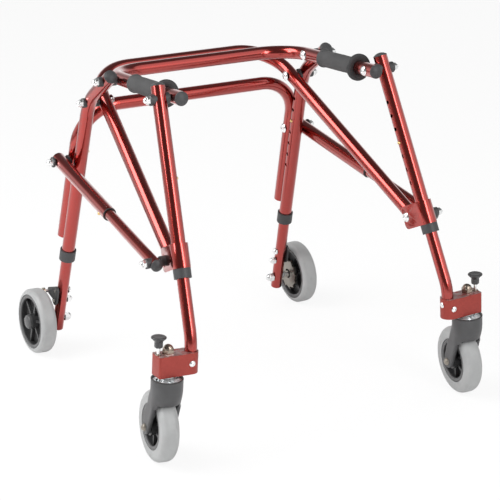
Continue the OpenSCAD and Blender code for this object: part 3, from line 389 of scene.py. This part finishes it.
class Finish(Nodes):
    """A procedural material round one Principled shader."""

    def __init__(self, name, **sockets):
        self.material = bpy.data.materials.new(name)
        self.material.use_nodes = True
        super().__init__(self.material.node_tree)
        self.shader = self.add("BsdfPrincipled", {}, sockets)
        output = self.add("OutputMaterial", {}, {})
        self.tree.links.new(self.shader.outputs[0], output.inputs["Surface"])

    def place(self):
        """Object coordinates."""
        return self.add("TexCoord", {}, {}).outputs["Object"]

    def noise(self, scale, detail, place=None):
        """Soft random patches."""
        sockets = {"Vector": place or self.place(), "Scale": scale, "Detail": detail}
        return Value(self, self.add("TexNoise", {}, sockets).outputs[0])

    def specks(self, scale):
        """Distance to the nearest of many scattered points."""
        sockets = {"Vector": self.place(), "Scale": scale}
        return Value(self, self.add("TexVoronoi", {}, sockets).outputs["Distance"])

    def mix(self, amount, first, second):
        """A colour between two others."""
        node = self.add("Mix", {"data_type": "RGBA"}, {0: amount, 6: first, 7: second})
        return node.outputs[2]

    def wear(self, colour, roughness, height=None, strength=None, distance=None, metallic=None):
        """Feeds what changes over the surface to the shader."""
        if metallic is not None:
            self.link(metallic, self.shader.inputs["Metallic"])
        self.link(colour, self.shader.inputs["Base Color"])
        self.link(roughness, self.shader.inputs["Roughness"])
        if height is not None:
            sockets = {"Height": height, "Strength": strength, "Distance": distance}
            bump = self.add("Bump", {}, sockets)
            self.tree.links.new(bump.outputs[0], self.shader.inputs["Normal"])
        return self.material


def solid(colour):
    """A colour with its alpha."""
    return (*colour, 1.0)


def shade(colour, factor):
    """A darker or lighter colour."""
    return solid([min(1.0, part * factor) for part in colour])


def red_tube_finish(colour):
    """Glossy red anodised tube: faint clouding, a fine grain and a few tiny scuffs."""
    coat = {"Coat Weight": 1.0, "Coat Roughness": 0.1, "Coat IOR": 1.55}
    finish = Finish("red_tube", **{"Metallic": 1.0, **coat})
    cloud = finish.noise(9.0, 2.0)
    grain = finish.noise(1800.0, 2.0)
    scuff = finish.noise(70.0, 6.0).over(0.7, 0.82)
    base = finish.mix(cloud.over(0.3, 0.7), shade(colour, 0.94), shade(colour, 1.05))
    base = finish.mix(grain.over(0.35, 0.65) * 0.25, base, shade(colour, 0.88))
    base = finish.mix(scuff * 0.2, base, solid((0.55, 0.12, 0.1)))
    rough = 0.21 + cloud * 0.03 + scuff * 0.06
    return finish.wear(base, rough)


def red_block_finish(colour, top_colour):
    """Satin red block: a grainy anodised face, and a greyish speckled colour on the faces that point up."""
    finish = Finish("red_block", **{"Metallic": 0.55})
    place = finish.place()
    grain = finish.noise(650.0, 3.0, place)
    patch = finish.noise(120.0, 4.0, place)
    normal = finish.add("NewGeometry", {}, {}).outputs["Normal"]
    up = finish.part(normal)[2]
    # Faces that point up get a greyish speckled colour
    top = up.over(0.8, 0.95) * patch.over(0.34, 0.56)
    base = finish.mix(grain.over(0.3, 0.7), shade(colour, 0.86), shade(colour, 1.12))
    base = finish.mix(top * 0.75, base, solid(top_colour))
    rough = 0.36 + grain * 0.14
    return finish.wear(base, rough, grain, 0.12, 0.0002)


def moulded_finish(name, colour, roughness, grain_scale, strength):
    """Moulded plastic: a spark-eroded grain, faint sheen changes and pale dust."""
    finish = Finish(name, **{"Specular IOR Level": 0.45})
    grain = finish.noise(grain_scale, 3.0)
    cloud = finish.noise(22.0, 3.0)
    dust = finish.specks(420.0)
    speck = 1 - dust.over(0.05, 0.16)
    base = finish.mix(cloud.over(0.3, 0.7), shade(colour, 0.85), shade(colour, 1.15))
    base = finish.mix(speck * 0.12, base, solid((0.32, 0.32, 0.33)))
    rough = roughness - 0.06 + cloud * 0.12
    return finish.wear(base, rough, grain, strength, 0.0002)


def tyre_finish(colour):
    """Light grey rubber: soft clouding, fine mould grain and a few rubbed marks."""
    finish = Finish("tyre_rubber", **{"Specular IOR Level": 0.5})
    cloud = finish.noise(30.0, 4.0)
    grain = finish.noise(800.0, 2.0)
    rubbed = finish.noise(95.0, 6.0).over(0.6, 0.74)
    base = finish.mix(cloud.over(0.3, 0.7), shade(colour, 0.93), shade(colour, 1.06))
    base = finish.mix(rubbed * 0.22, base, shade(colour, 0.7))
    rough = 0.38 + cloud * 0.12 + rubbed * 0.1
    return finish.wear(base, rough, grain, 0.06, 0.0002)


def ratchet_hub_finish(colour, steel_colour):
    """Moulded rear hub, whose ratchet ring on the inner side is plated steel."""
    finish = Finish("ratchet_hub", **{"Specular IOR Level": 0.45})
    place = finish.place()
    grain = finish.noise(600.0, 3.0, place)
    cloud = finish.noise(40.0, 3.0, place)
    x, y, z = finish.part(place)
    centre, axis = wheel_axis("rear", "left")
    inward = (centre.x - x.size()) * axis.x + (centre.y - y) * axis.y + (centre.z - z) * axis.z
    ring = inward.over((RATCHET_IN - 0.1) * MM, (RATCHET_IN + 0.1) * MM)
    base = finish.mix(cloud.over(0.3, 0.7), shade(colour, 0.85), shade(colour, 1.15))
    plated = finish.mix(cloud.over(0.3, 0.7), shade(steel_colour, 0.8), shade(steel_colour, 1.0))
    rough = 0.34 + cloud * 0.1 - ring * 0.08
    return finish.wear(finish.mix(ring, base, plated), rough, grain, 0.05, 0.0002, ring)


def metal_finish(name, colour, roughness, second=None, split=None, metallic=1.0):
    """Plated metal with faint tool marks; a second colour starts above a split height."""
    finish = Finish(name, **{"Metallic": metallic})
    place = finish.place()
    marks = finish.noise(700.0, 3.0, place)
    cloud = finish.noise(60.0, 3.0, place)
    base = finish.mix(cloud.over(0.3, 0.7), shade(colour, 0.88), shade(colour, 1.05))
    if second is not None:
        above = finish.part(place)[2].over((split - COLOUR_SEAM) * MM, (split + COLOUR_SEAM) * MM)
        base = finish.mix(above, base, solid(second))
    rough = roughness - 0.03 + marks * 0.08
    return finish.wear(base, rough, marks, 0.03, 0.0001)


# What a user would change
class WalkerFinishes(bpy.types.PropertyGroup):
    """Colours of the walker's finishes."""

    tube: FloatVectorProperty(
        name="Tubes", description="Colour of the anodised tubes", subtype="COLOR",
        default=(0.35, 0.026, 0.018), min=0, max=1,
    )
    block: FloatVectorProperty(
        name="Blocks", description="Colour of the satin caster blocks", subtype="COLOR",
        default=(0.315, 0.047, 0.037), min=0, max=1,
    )
    # Colour laid in speckled patches on the faces of the blocks that point up
    block_top: FloatVectorProperty(
        name="Block tops", description="Colour of the rubbed tops of the blocks", subtype="COLOR",
        default=(0.36, 0.29, 0.28), min=0, max=1,
    )
    fitting: FloatVectorProperty(
        name="Fittings", description="Colour of plugs, collars, spacers and washers", subtype="COLOR",
        default=(0.045, 0.045, 0.047), min=0, max=1,
    )
    fork: FloatVectorProperty(
        name="Forks", description="Colour of the moulded caster forks", subtype="COLOR",
        default=(0.068, 0.068, 0.070), min=0, max=1,
    )
    hub: FloatVectorProperty(
        name="Hubs", description="Colour of the wheel hubs", subtype="COLOR",
        default=(0.038, 0.038, 0.039), min=0, max=1,
    )
    rim: FloatVectorProperty(
        name="Rims", description="Colour of the wheels' rim bands and hub caps", subtype="COLOR",
        default=(0.085, 0.085, 0.087), min=0, max=1,
    )
    grip: FloatVectorProperty(
        name="Grips", description="Colour of the hand grips", subtype="COLOR",
        default=(0.056, 0.056, 0.057), min=0, max=1,
    )
    tyre: FloatVectorProperty(
        name="Tyres", description="Colour of the tyres", subtype="COLOR",
        default=(0.35, 0.355, 0.355), min=0, max=1,
    )
    steel: FloatVectorProperty(
        name="Steel", description="Colour of the bright steel", subtype="COLOR",
        default=(0.88, 0.89, 0.89), min=0, max=1,
    )
    # Dark chrome of the stem nuts, tinted brown as a painted reflection of the red block
    stem_nut_painted_reflection: FloatVectorProperty(
        name="Stem nuts", description="Colour of the nuts on the caster stems", subtype="COLOR",
        default=(0.34, 0.28, 0.23), min=0, max=1,
    )
    fork_axle: FloatVectorProperty(
        name="Fork axles", description="Colour of the caster axles", subtype="COLOR",
        default=(0.26, 0.235, 0.20), min=0, max=1,
    )
    fork_plate: FloatVectorProperty(
        name="Fork plates", description="Colour of the steel plates in the forks", subtype="COLOR",
        default=(0.90, 0.95, 0.97), min=0, max=1,
    )
    pawl: FloatVectorProperty(
        name="Pawls", description="Colour of the rear wheels' pawls", subtype="COLOR",
        default=(0.74, 0.69, 0.56), min=0, max=1,
    )
    ratchet: FloatVectorProperty(
        name="Ratchets", description="Colour of the rear hubs' ratchet rings", subtype="COLOR",
        default=(0.31, 0.285, 0.25), min=0, max=1,
    )
    brass: FloatVectorProperty(
        name="Brass", description="Colour of the snap buttons", subtype="COLOR",
        default=(0.82, 0.56, 0.25), min=0, max=1,
    )


class WalkerSizes(bpy.types.PropertyGroup):
    """Sizes of the modelled pieces, in millimetres."""

    grip_d: FloatProperty(
        name="Grip diameter", description="Diameter of a hand grip",
        default=31.0, min=28, max=36,
    )
    grip_l: FloatProperty(
        name="Grip length", description="Length of a hand grip with its flange",
        default=126.0, min=100, max=150,
    )
    grip_gap: FloatProperty(
        name="Grip gap", description="Distance from the front pivot to a grip's flange",
        default=34.0, min=28, max=40,
    )
    flange_d: FloatProperty(
        name="Flange diameter", description="Diameter of a grip's flange",
        default=50.0, min=40, max=54,
    )
    knob_d: FloatProperty(
        name="Knob diameter", description="Diameter of a lock knob",
        default=27.0, min=22, max=30,
    )
    cap_d: FloatProperty(
        name="Hub cap diameter", description="Diameter of a rear hub cap",
        default=28.0, min=24, max=36,
    )
    edge: FloatProperty(
        name="Edge radius", description="Rounding of the edges of blocks, brackets and knobs",
        default=0.9, min=0.2, max=2,
    )


class WalkerStudio(bpy.types.PropertyGroup):
    """The studio's lamps and camera."""

    lens: FloatProperty(
        name="Lens", description="Focal length of the camera in millimetres", subtype="DISTANCE_CAMERA",
        default=142.96, min=50, max=300,
    )
    front_lamp: FloatProperty(
        name="Front lamp", description="Power of the lamp in front", subtype="POWER",
        default=27.0, min=0,
    )
    side_lamp: FloatProperty(
        name="Side lamp", description="Power of the lamp at the side", subtype="POWER",
        default=17.0, min=0,
    )
    top_lamp: FloatProperty(
        name="Top lamp", description="Power of the lamp overhead", subtype="POWER",
        default=50.0, min=0,
    )
    surround: FloatProperty(
        name="Surround", description="Strength of the soft light all round", subtype="FACTOR",
        default=0.55, min=0, max=1,
    )
    floor_clear: FloatProperty(
        name="Clear floor", description="How much of the surround the camera sees through the floor",
        subtype="FACTOR", default=0.88, min=0, max=1,
    )


def finishes():
    """The chosen colours."""
    return bpy.context.scene.walker_finishes


def sizes():
    """The chosen sizes."""
    return bpy.context.scene.walker_sizes


class WALKER_OT_tubes(bpy.types.Operator):
    """Red finish of the tubes, bars and brackets"""

    bl_idname = "walker.tubes"
    bl_label = "Red tubes"

    def execute(self, context):
        red = red_tube_finish(finishes().tube)
        paint(red, "rear_legs", "back_bar", "handle_bar", "diagonal_bar", "front_legs")
        for stem in ("stay_outer", "stay_inner", "front_leg_lower", "rear_leg_lower"):
            paint(red, *both(stem))
        brackets = copy_of_node("front_brackets", "channel_brackets")
        bevelled(brackets, sizes().edge)
        settle(brackets, "front_legs", red, "red_tube", "front_brackets")
        return {"FINISHED"}


class WALKER_OT_fittings(bpy.types.Operator):
    """Black plastic of plugs, collars, spacers, bushes and brackets"""

    bl_idname = "walker.fittings"
    bl_label = "Black fittings"

    def execute(self, context):
        black = moulded_finish("black_plastic", finishes().fitting, 0.5, 520.0, 0.12)
        paint(black, "rear_leg_fittings", "front_leg_fittings", "pivot_spacers", "handle_plugs")
        for stem in ("stay_bush", "stay_plug", "pawl_bracket"):
            paint(black, *both(stem))
        return {"FINISHED"}


class WALKER_OT_hardware(bpy.types.Operator):
    """Bright steel, dark stem nuts, plated axles and brass buttons"""

    bl_idname = "walker.hardware"
    bl_label = "Metal hardware"

    def execute(self, context):
        chosen = finishes()
        chrome = metal_finish("bright_steel", chosen.steel, 0.24)
        paint(chrome, "pivot_bolts", "handle_bolts", "front_bolts")
        for stem in ("stay_bolt", "rear_axle", "lock_pin"):
            paint(chrome, *both(stem))
        # The stem nuts' brown tint is a painted reflection of the red block in dark chrome
        stem_nut_painted_reflection = metal_finish("stem_steel", chosen.steel, 0.3, chosen.stem_nut_painted_reflection, STEM_NUT_LOW)
        paint(stem_nut_painted_reflection, *both("block_fasteners"))
        plate = metal_finish(
            "plated_steel", chosen.fork_axle, 0.36, chosen.fork_plate, FORK_AXLE_HIGH, metallic=0.45,
        )
        paint(plate, *both("fork_hardware"))
        pawl_steel = metal_finish("pawl_steel", chosen.pawl, 0.3)
        paint(pawl_steel, *both("pawl"))
        brass = metal_finish("brass", chosen.brass, 0.3)
        for stem in ("stay_button", "front_button", "rear_button"):
            paint(brass, *both(stem))
        return {"FINISHED"}


class WALKER_OT_wheels(bpy.types.Operator):
    """Grey tyres, dark moulded hubs and rounded rim bands"""

    bl_idname = "walker.wheels"
    bl_label = "Wheels"

    def execute(self, context):
        rubber = tyre_finish(finishes().tyre)
        paint(rubber, *both("caster_tyre"), *both("rear_tyre"))
        plastic = moulded_finish("hub_plastic", finishes().hub, 0.36, 600.0, 0.06)
        paint(plastic, *both("caster_hub"))
        paint(ratchet_hub_finish(finishes().hub, finishes().ratchet), *both("rear_hub"))
        satin = moulded_finish("rim_plastic", finishes().rim, 0.36, 600.0, 0.05)
        for wheel, rim in WHEEL_RIMS.items():
            for side in SIDES:
                self.rim_bands(wheel, rim, side, satin)
        return {"FINISHED"}

    def rim_bands(self, wheel, rim, side, material):
        """The rounded edges of a wheel's rim, one on each face."""
        band_rise = 1.6
        low = rim - 7.4
        high = rim - 0.3
        root = RIM_HALF - band_rise
        crest = RIM_HALF + band_rise
        profile = [
            (low, root), (low, crest - 1.1), (low + 0.4, crest - 0.4), (low + 1.3, crest),
            (high - 2.4, crest), (high - 0.8, crest - 0.4), (high, crest - 1.2), (high, root),
        ]
        outer = turned(f"rim_bands_{wheel}_{side}", profile, 96, ring=True)
        inner = turned("inner_band", profile, 96, ring=True)
        put(inner, turn_about("X", 180))
        bands = joined(outer, inner)
        put(bands, wheel_place(wheel, side))
        smooth(bands, 40)
        body = "caster_wheel" if wheel == "caster" else "rear_wheel"
        settle(bands, f"{body}_{side}", material, "grey_plastic")


class WALKER_OT_grips(bpy.types.Operator):
    """Foam hand grips with a soft rear lip and a flange in front"""

    bl_idname = "walker.grips"
    bl_label = "Hand grips"

    def execute(self, context):
        size = sizes()
        foam = moulded_finish("grip_foam", finishes().grip, 0.74, 420.0, 0.25)
        flange_black = shade(finishes().fitting, 0.6)[:3]
        rubber = moulded_finish("flange_rubber", flange_black, 0.55, 480.0, 0.12)
        inner = TUBE_R + 0.05
        outer = size.grip_d / 2
        lip = outer + 1.6
        flange = size.flange_d / 2
        end = size.grip_l
        profile = [
            (inner, 0.6), (inner + 0.8, 0), (lip - 1.6, 0), (lip - 0.4, 0.5), (lip, 1.8), (lip, 3.6),
            (lip - 0.5, 4.9), (outer + 0.2, 5.8), (outer - 0.1, 8), (outer, 16), (outer + 0.25, end * 0.5),
            (outer, end - 22), (outer, end - 6.4), (inner + 0.8, end - 6.2), (inner, end - 6.6),
        ]
        flange_profile = [
            (inner, end - 5.8), (outer - 1, end - 6.2), (outer + 0.9, end - 7.4), (outer + 1.6, end - 7),
            (outer + 3, end - 6.3), (flange - 1.6, end - 6), (flange - 0.5, end - 5.6), (flange, end - 4.4),
            (flange, end - 1.8), (flange - 0.5, end - 0.5), (flange - 1.8, end), (inner + 0.8, end),
            (inner, end - 0.6),
        ]
        for side in SIDES:
            along = shift((HANDLE_X, -HANDLE_L + size.grip_gap + end, 0)) @ turn_about("X", 90)
            place = mirrored(handle_place() @ along, side)
            grip = turned(f"hand_grip_{side}", profile, 96, ring=True)
            put(grip, place)
            smooth(grip, 50)
            settle(grip, "handle", foam, "foam_grip", "hand_grips")
            disc = turned(f"grip_flange_{side}", flange_profile, 96, ring=True)
            put(disc, place)
            smooth(disc, 50)
            settle(disc, "handle", rubber, "foam_grip", "hand_grips")
        return {"FINISHED"}


class WALKER_OT_forks(bpy.types.Operator):
    """Moulded caster forks whose arms flare out of a round cup, with a darker bead round its mouth as
    painted shade
    """

    bl_idname = "walker.forks"
    bl_label = "Caster forks"

    def execute(self, context):
        plastic = moulded_finish("fork_plastic", finishes().fork, 0.42, 480.0, 0.1)
        # Darker plastic for the cup's rim bead: painted shade along the cup's edge
        dark = moulded_finish("cup_rim_painted_shade", finishes().hub, 0.4, 480.0, 0.08)
        for side in SIDES:
            node = f"caster_fork_{side}"
            fork = self.slice_of(node, side, CROWN_TOP - CROWN_LAP, True)
            joined(fork, self.slice_of(node, side, CROWN_LOW + CROWN_LAP, False))
            joined(fork, self.crown())
            fork.name = f"moulded_fork_{side}"
            put(fork, fork_place(side))
            modify(fork, "REMESH", mode="VOXEL", voxel_size=FORK_VOXEL * MM, use_smooth_shade=True)
            modify(fork, "SMOOTH", factor=0.5, iterations=20)
            smooth(fork, 60)
            settle(fork, f"fork_{side}", plastic, "grey_plastic", node)
            # The dark rim bead stands in for the shade at the cup's mouth
            rim = turned(f"cup_rim_{side}", self.rim_profile(), 96, ring=True)
            put(rim, fork_place(side))
            smooth(rim, 50)
            settle(rim, f"fork_{side}", dark, "grey_plastic")
        return {"FINISHED"}

    def slice_of(self, node, side, height, above):
        """What a fork's solid has above or below a height, in the fork's own frame."""
        piece = copy_of_node(node, "fork_slice")
        put(piece, fork_place(side).inverted())
        in_edit_mode(piece)
        bpy.ops.mesh.bisect(
            plane_co=(0, 0, height * MM), plane_no=(0, 0, 1), use_fill=True,
            clear_inner=above, clear_outer=not above,
        )
        bpy.ops.object.mode_set(mode="OBJECT")
        return piece

    def rim_profile(self):
        """The bead round the mouth of a fork's cup: a dark ring that paints the shade along the cup's edge.
        """
        return [
            (CUP_R - 2.6, CUP_TOP - 2.2), (CUP_R - 2.6, CUP_TOP - 0.2), (CUP_R - 2.0, CUP_TOP + 0.3),
            (CUP_R - 0.6, CUP_TOP + 0.3), (CUP_R + 0.2, CUP_TOP - 0.2), (CUP_R + 0.3, CUP_TOP - 1.4),
            (CUP_R - 0.2, CUP_TOP - 2.2),
        ]

    def crown(self):
        """The flare from a round cup to two arms, cut clear of the wheel."""
        corner_points = 16
        depth = 40.0
        back = 8.0
        front_round = 16.0
        back_round = 9.0
        half_width = ARM_OUT - 0.4
        nothing_selected()
        bpy.ops.mesh.primitive_plane_add(size=1.0)
        crown = bpy.context.object
        in_edit_mode(crown)
        bpy.ops.transform.resize(value=(2 * half_width * MM, depth * MM, 1))
        edge = depth * MM * 0.49
        pick_points(crown, lambda at: at.y < -edge)
        bpy.ops.mesh.bevel(offset=front_round * MM, segments=corner_points - 1, affect="VERTICES")
        pick_points(crown, lambda at: at.y > edge)
        bpy.ops.mesh.bevel(offset=back_round * MM, segments=corner_points - 1, affect="VERTICES")
        bpy.ops.mesh.select_all(action="SELECT")
        bpy.ops.mesh.delete(type="ONLY_FACE")
        bpy.ops.mesh.select_all(action="SELECT")
        bpy.ops.transform.translate(value=(0, back * MM, CROWN_LOW * MM))
        high = (0, 0, CROWN_TOP * MM)
        bpy.ops.mesh.primitive_circle_add(vertices=4 * corner_points, radius=CUP_R * MM, location=high)
        bpy.ops.mesh.select_all(action="SELECT")
        bpy.ops.mesh.bridge_edge_loops(number_cuts=6)
        bpy.ops.mesh.select_all(action="SELECT")
        bpy.ops.mesh.fill_holes(sides=0)
        bpy.ops.object.mode_set(mode="OBJECT")
        tidy_normals(crown)
        bpy.ops.mesh.primitive_cylinder_add(
            vertices=128, radius=WHEEL_ROOM_R * MM, depth=2 * ARM_IN * MM,
            location=Vector((0, CASTER_TRAIL, CASTER_AXLE_Z)) * MM, rotation=(0, math.radians(90), 0),
        )
        room = bpy.context.object
        modify(crown, "BOOLEAN", operation="DIFFERENCE", solver="EXACT", object=room)
        bpy.data.objects.remove(room)
        return crown


class WALKER_OT_blocks(bpy.types.Operator):
    """Satin caster blocks with softened edges"""

    bl_idname = "walker.blocks"
    bl_label = "Caster blocks"

    def execute(self, context):
        satin = red_block_finish(finishes().block, finishes().block_top)
        for side in SIDES:
            node = f"caster_block_{side}"
            block = copy_of_node(node, f"satin_block_{side}")
            bevelled(block, sizes().edge)
            settle(block, f"front_lower_{side}", satin, "red_block", node)
        return {"FINISHED"}


class WALKER_OT_knobs(bpy.types.Operator):
    """Mushroom knobs of the swivel locks, with a six-sided neck"""

    bl_idname = "walker.knobs"
    bl_label = "Lock knobs"

    def execute(self, context):
        plastic = moulded_finish("knob_plastic", finishes().fitting, 0.4, 560.0, 0.08)
        top = sizes().knob_d / 2
        cap_profile = [
            (4.0, 9.5), (6.8, 10.2), (7.6, 11.6), (9.4, 13.6), (top - 1.7, 16.2), (top - 0.4, 17.2),
            (top, 18.2), (top - 0.3, 19.2), (top - 1.3, 20.0), (top - 3, 20.3), (top * 0.6, 20.1),
            (top * 0.3, 19.9), (0.4, 19.8),
        ]
        neck_profile = [
            (3.6, 0), (6.4, 0), (7.2, 0.8), (7.6, 2.4), (7.6, 10), (7.2, 12.4), (4.0, 13),
        ]
        for side in SIDES:
            knob = turned(f"knob_cap_{side}", cap_profile, 64)
            neck = turned(f"knob_neck_{side}", neck_profile, 6)
            bevelled(neck, sizes().edge)
            joined(knob, neck)
            knob.name = f"mushroom_knob_{side}"
            raised = stem_place() @ shift((LOCK_OUT, 0, BLOCK_TOP + LOCK_RAISE))
            put(knob, mirrored(raised, side))
            smooth(knob, 40)
            settle(knob, f"lock_{side}", plastic, "black_plastic", f"lock_knob_{side}")
        return {"FINISHED"}


class WALKER_OT_hub_caps(bpy.types.Operator):
    """Grey domed caps on the outer ends of the rear axles"""

    bl_idname = "walker.hub_caps"
    bl_label = "Rear hub caps"

    def execute(self, context):
        plastic = moulded_finish("cap_plastic", finishes().rim, 0.38, 600.0, 0.05)
        rim = sizes().cap_d / 2
        inside = rim - 1.8
        skirt = -5.0
        profile = [
            (0.4, 7.4), (8.6, 6.8), (inside, 2.6), (inside, skirt), (rim - 0.6, skirt), (rim, skirt + 0.6),
            (rim, 3.0), (rim - 0.3, 4.4), (rim - 1.2, 5.8), (rim * 0.8, 7.2), (rim * 0.5, 8.4),
            (rim * 0.2, 9.0), (0.4, 9.1),
        ]
        for side in SIDES:
            cap = turned(f"hub_cap_{side}", profile, 72)
            put(cap, wheel_place("rear", side) @ shift((0, 0, TYRE_HALF)))
            smooth(cap, 40)
            settle(cap, f"rear_wheel_{side}", plastic, "grey_plastic")
        return {"FINISHED"}


class WALKER_OT_studio(bpy.types.Operator):
    """Pale floor, soft lamps, surround and camera"""

    bl_idname = "walker.studio"
    bl_label = "Studio"

    def execute(self, context):
        scene = bpy.context.scene
        chosen = scene.walker_studio
        scene.view_settings.view_transform = "Standard"
        self.floor(chosen.floor_clear)
        self.surround(scene, chosen.surround)
        self.lamp("front_lamp", FRONT_LAMP_AT, FRONT_LAMP_AIM, (0.7, 1.7), chosen.front_lamp)
        self.lamp("side_lamp", SIDE_LAMP_AT, LAMP_AIM, (0.7, 1.1), chosen.side_lamp)
        self.lamp("top_lamp", TOP_LAMP_AT, LAMP_AIM, (1.5, 1.8), chosen.top_lamp)
        self.camera(scene, chosen.lens)
        return {"FINISHED"}

    def camera(self, scene, lens):
        """The camera at the photograph's viewing angle."""
        camera = bpy.data.objects.new("camera", bpy.data.cameras.new("camera"))
        scene.collection.objects.link(camera)
        camera.location = CAMERA_AT
        camera.rotation_mode = "QUATERNION"
        camera.rotation_quaternion = Vector(CAMERA_WAY).to_track_quat("-Z", "Y")
        camera.data.sensor_width = CAMERA_SENSOR
        camera.data.lens = lens
        camera.data.clip_start = CAMERA_NEAR
        camera.data.clip_end = CAMERA_FAR
        scene.camera = camera

    def floor(self, clear_share):
        """A wide pale floor that shows the white surround, keeps a faint shadow and hides no wheel."""
        nothing_selected()
        bpy.ops.mesh.primitive_plane_add(size=FLOOR_SIZE)
        floor = bpy.context.object
        floor.name = "studio_floor"
        finish = Finish("studio_floor", **{"Base Color": (0.94, 0.94, 0.94, 1.0), "Roughness": 0.9})
        seen = Value(finish, finish.add("LightPath", {}, {}).outputs["Is Camera Ray"])
        clear = finish.add("BsdfTransparent", {}, {"Color": (1.0, 1.0, 1.0, 1.0)})
        shaders = {1: finish.shader.outputs[0], 2: clear.outputs[0]}
        blend = finish.add("MixShader", {}, {0: seen * clear_share, **shaders})
        output = finish.tree.nodes["Material Output"]
        finish.tree.links.new(blend.outputs[0], output.inputs["Surface"])
        floor.data.materials.append(finish.material)

    def surround(self, scene, strength):
        """White for the camera; for gloss, dark overhead and on one side, with one bright panel."""
        world = bpy.data.worlds.new("studio_surround")
        scene.world = world
        world.use_nodes = True
        nodes = Nodes(world.node_tree)
        path = nodes.add("LightPath", {}, {})
        direction = nodes.add("TexCoord", {}, {}).outputs["Generated"]
        height = nodes.part(direction)[2]
        dark = nodes.along(direction, DARK_SIDE).over(0.50, 0.78)
        ceiling = height.over(0.22, 0.5)
        dim = dark + ceiling - dark * ceiling
        panel = nodes.along(direction, BRIGHT_PANEL).over(0.84, 0.95)
        gloss = 1 - dim * DIMMING + panel * PANEL_GAIN
        camera_ray = Value(nodes, path.outputs["Is Camera Ray"])
        glossy_ray = Value(nodes, path.outputs["Is Glossy Ray"])
        clear_ray = Value(nodes, path.outputs["Is Transmission Ray"])
        other = 1 - camera_ray - glossy_ray
        level = camera_ray + glossy_ray * gloss + other * strength + clear_ray * (1 - strength)
        light = nodes.add("Background", {}, {"Color": (1.0, 1.0, 1.0, 1.0), "Strength": level})
        output = nodes.add("OutputWorld", {}, {})
        nodes.tree.links.new(light.outputs[0], output.inputs["Surface"])

    def lamp(self, name, at, target, size, power):
        """A soft rectangular lamp that faces a point."""
        light = bpy.data.lights.new(name, "AREA")
        light.shape = "RECTANGLE"
        light.size, light.size_y = size
        light.energy = power
        lamp = bpy.data.objects.new(name, light)
        bpy.context.scene.collection.objects.link(lamp)
        lamp.location = at
        lamp.rotation_mode = "QUATERNION"
        lamp.rotation_quaternion = (Vector(target) - Vector(at)).to_track_quat("-Z", "Y")


OPERATORS = (
    WALKER_OT_tubes,
    WALKER_OT_fittings,
    WALKER_OT_hardware,
    WALKER_OT_wheels,
    WALKER_OT_grips,
    WALKER_OT_forks,
    WALKER_OT_blocks,
    WALKER_OT_knobs,
    WALKER_OT_hub_caps,
    WALKER_OT_studio,
)


class WALKER_PT_panel(bpy.types.Panel):
    """The walker's finishes, sizes and pieces"""

    bl_idname = "WALKER_PT_panel"
    bl_label = "Posterior walker"
    bl_space_type = "VIEW_3D"
    bl_region_type = "UI"
    bl_category = "Walker"

    def draw(self, context):
        scene = context.scene
        for group in (scene.walker_finishes, scene.walker_sizes, scene.walker_studio):
            box = self.layout.box()
            for name in group.__annotations__:
                box.prop(group, name)
        for operator in OPERATORS:
            self.layout.operator(operator.bl_idname)


CLASSES = (WalkerFinishes, WalkerSizes, WalkerStudio, *OPERATORS, WALKER_PT_panel)


def register():
    for entry in CLASSES:
        bpy.utils.register_class(entry)
    bpy.types.Scene.walker_finishes = PointerProperty(type=WalkerFinishes)
    bpy.types.Scene.walker_sizes = PointerProperty(type=WalkerSizes)
    bpy.types.Scene.walker_studio = PointerProperty(type=WalkerStudio)


def unregister():
    del bpy.types.Scene.walker_studio
    del bpy.types.Scene.walker_sizes
    del bpy.types.Scene.walker_finishes
    for entry in reversed(CLASSES):
        bpy.utils.unregister_class(entry)


def main():
    """Makes the looks in order."""
    register()
    bpy.ops.walker.tubes()
    bpy.ops.walker.fittings()
    bpy.ops.walker.hardware()
    bpy.ops.walker.wheels()
    bpy.ops.walker.grips()
    bpy.ops.walker.forks()
    bpy.ops.walker.blocks()
    bpy.ops.walker.knobs()
    bpy.ops.walker.hub_caps()
    bpy.ops.walker.studio()
    nothing_selected()


if __name__ == "__main__":
    main()
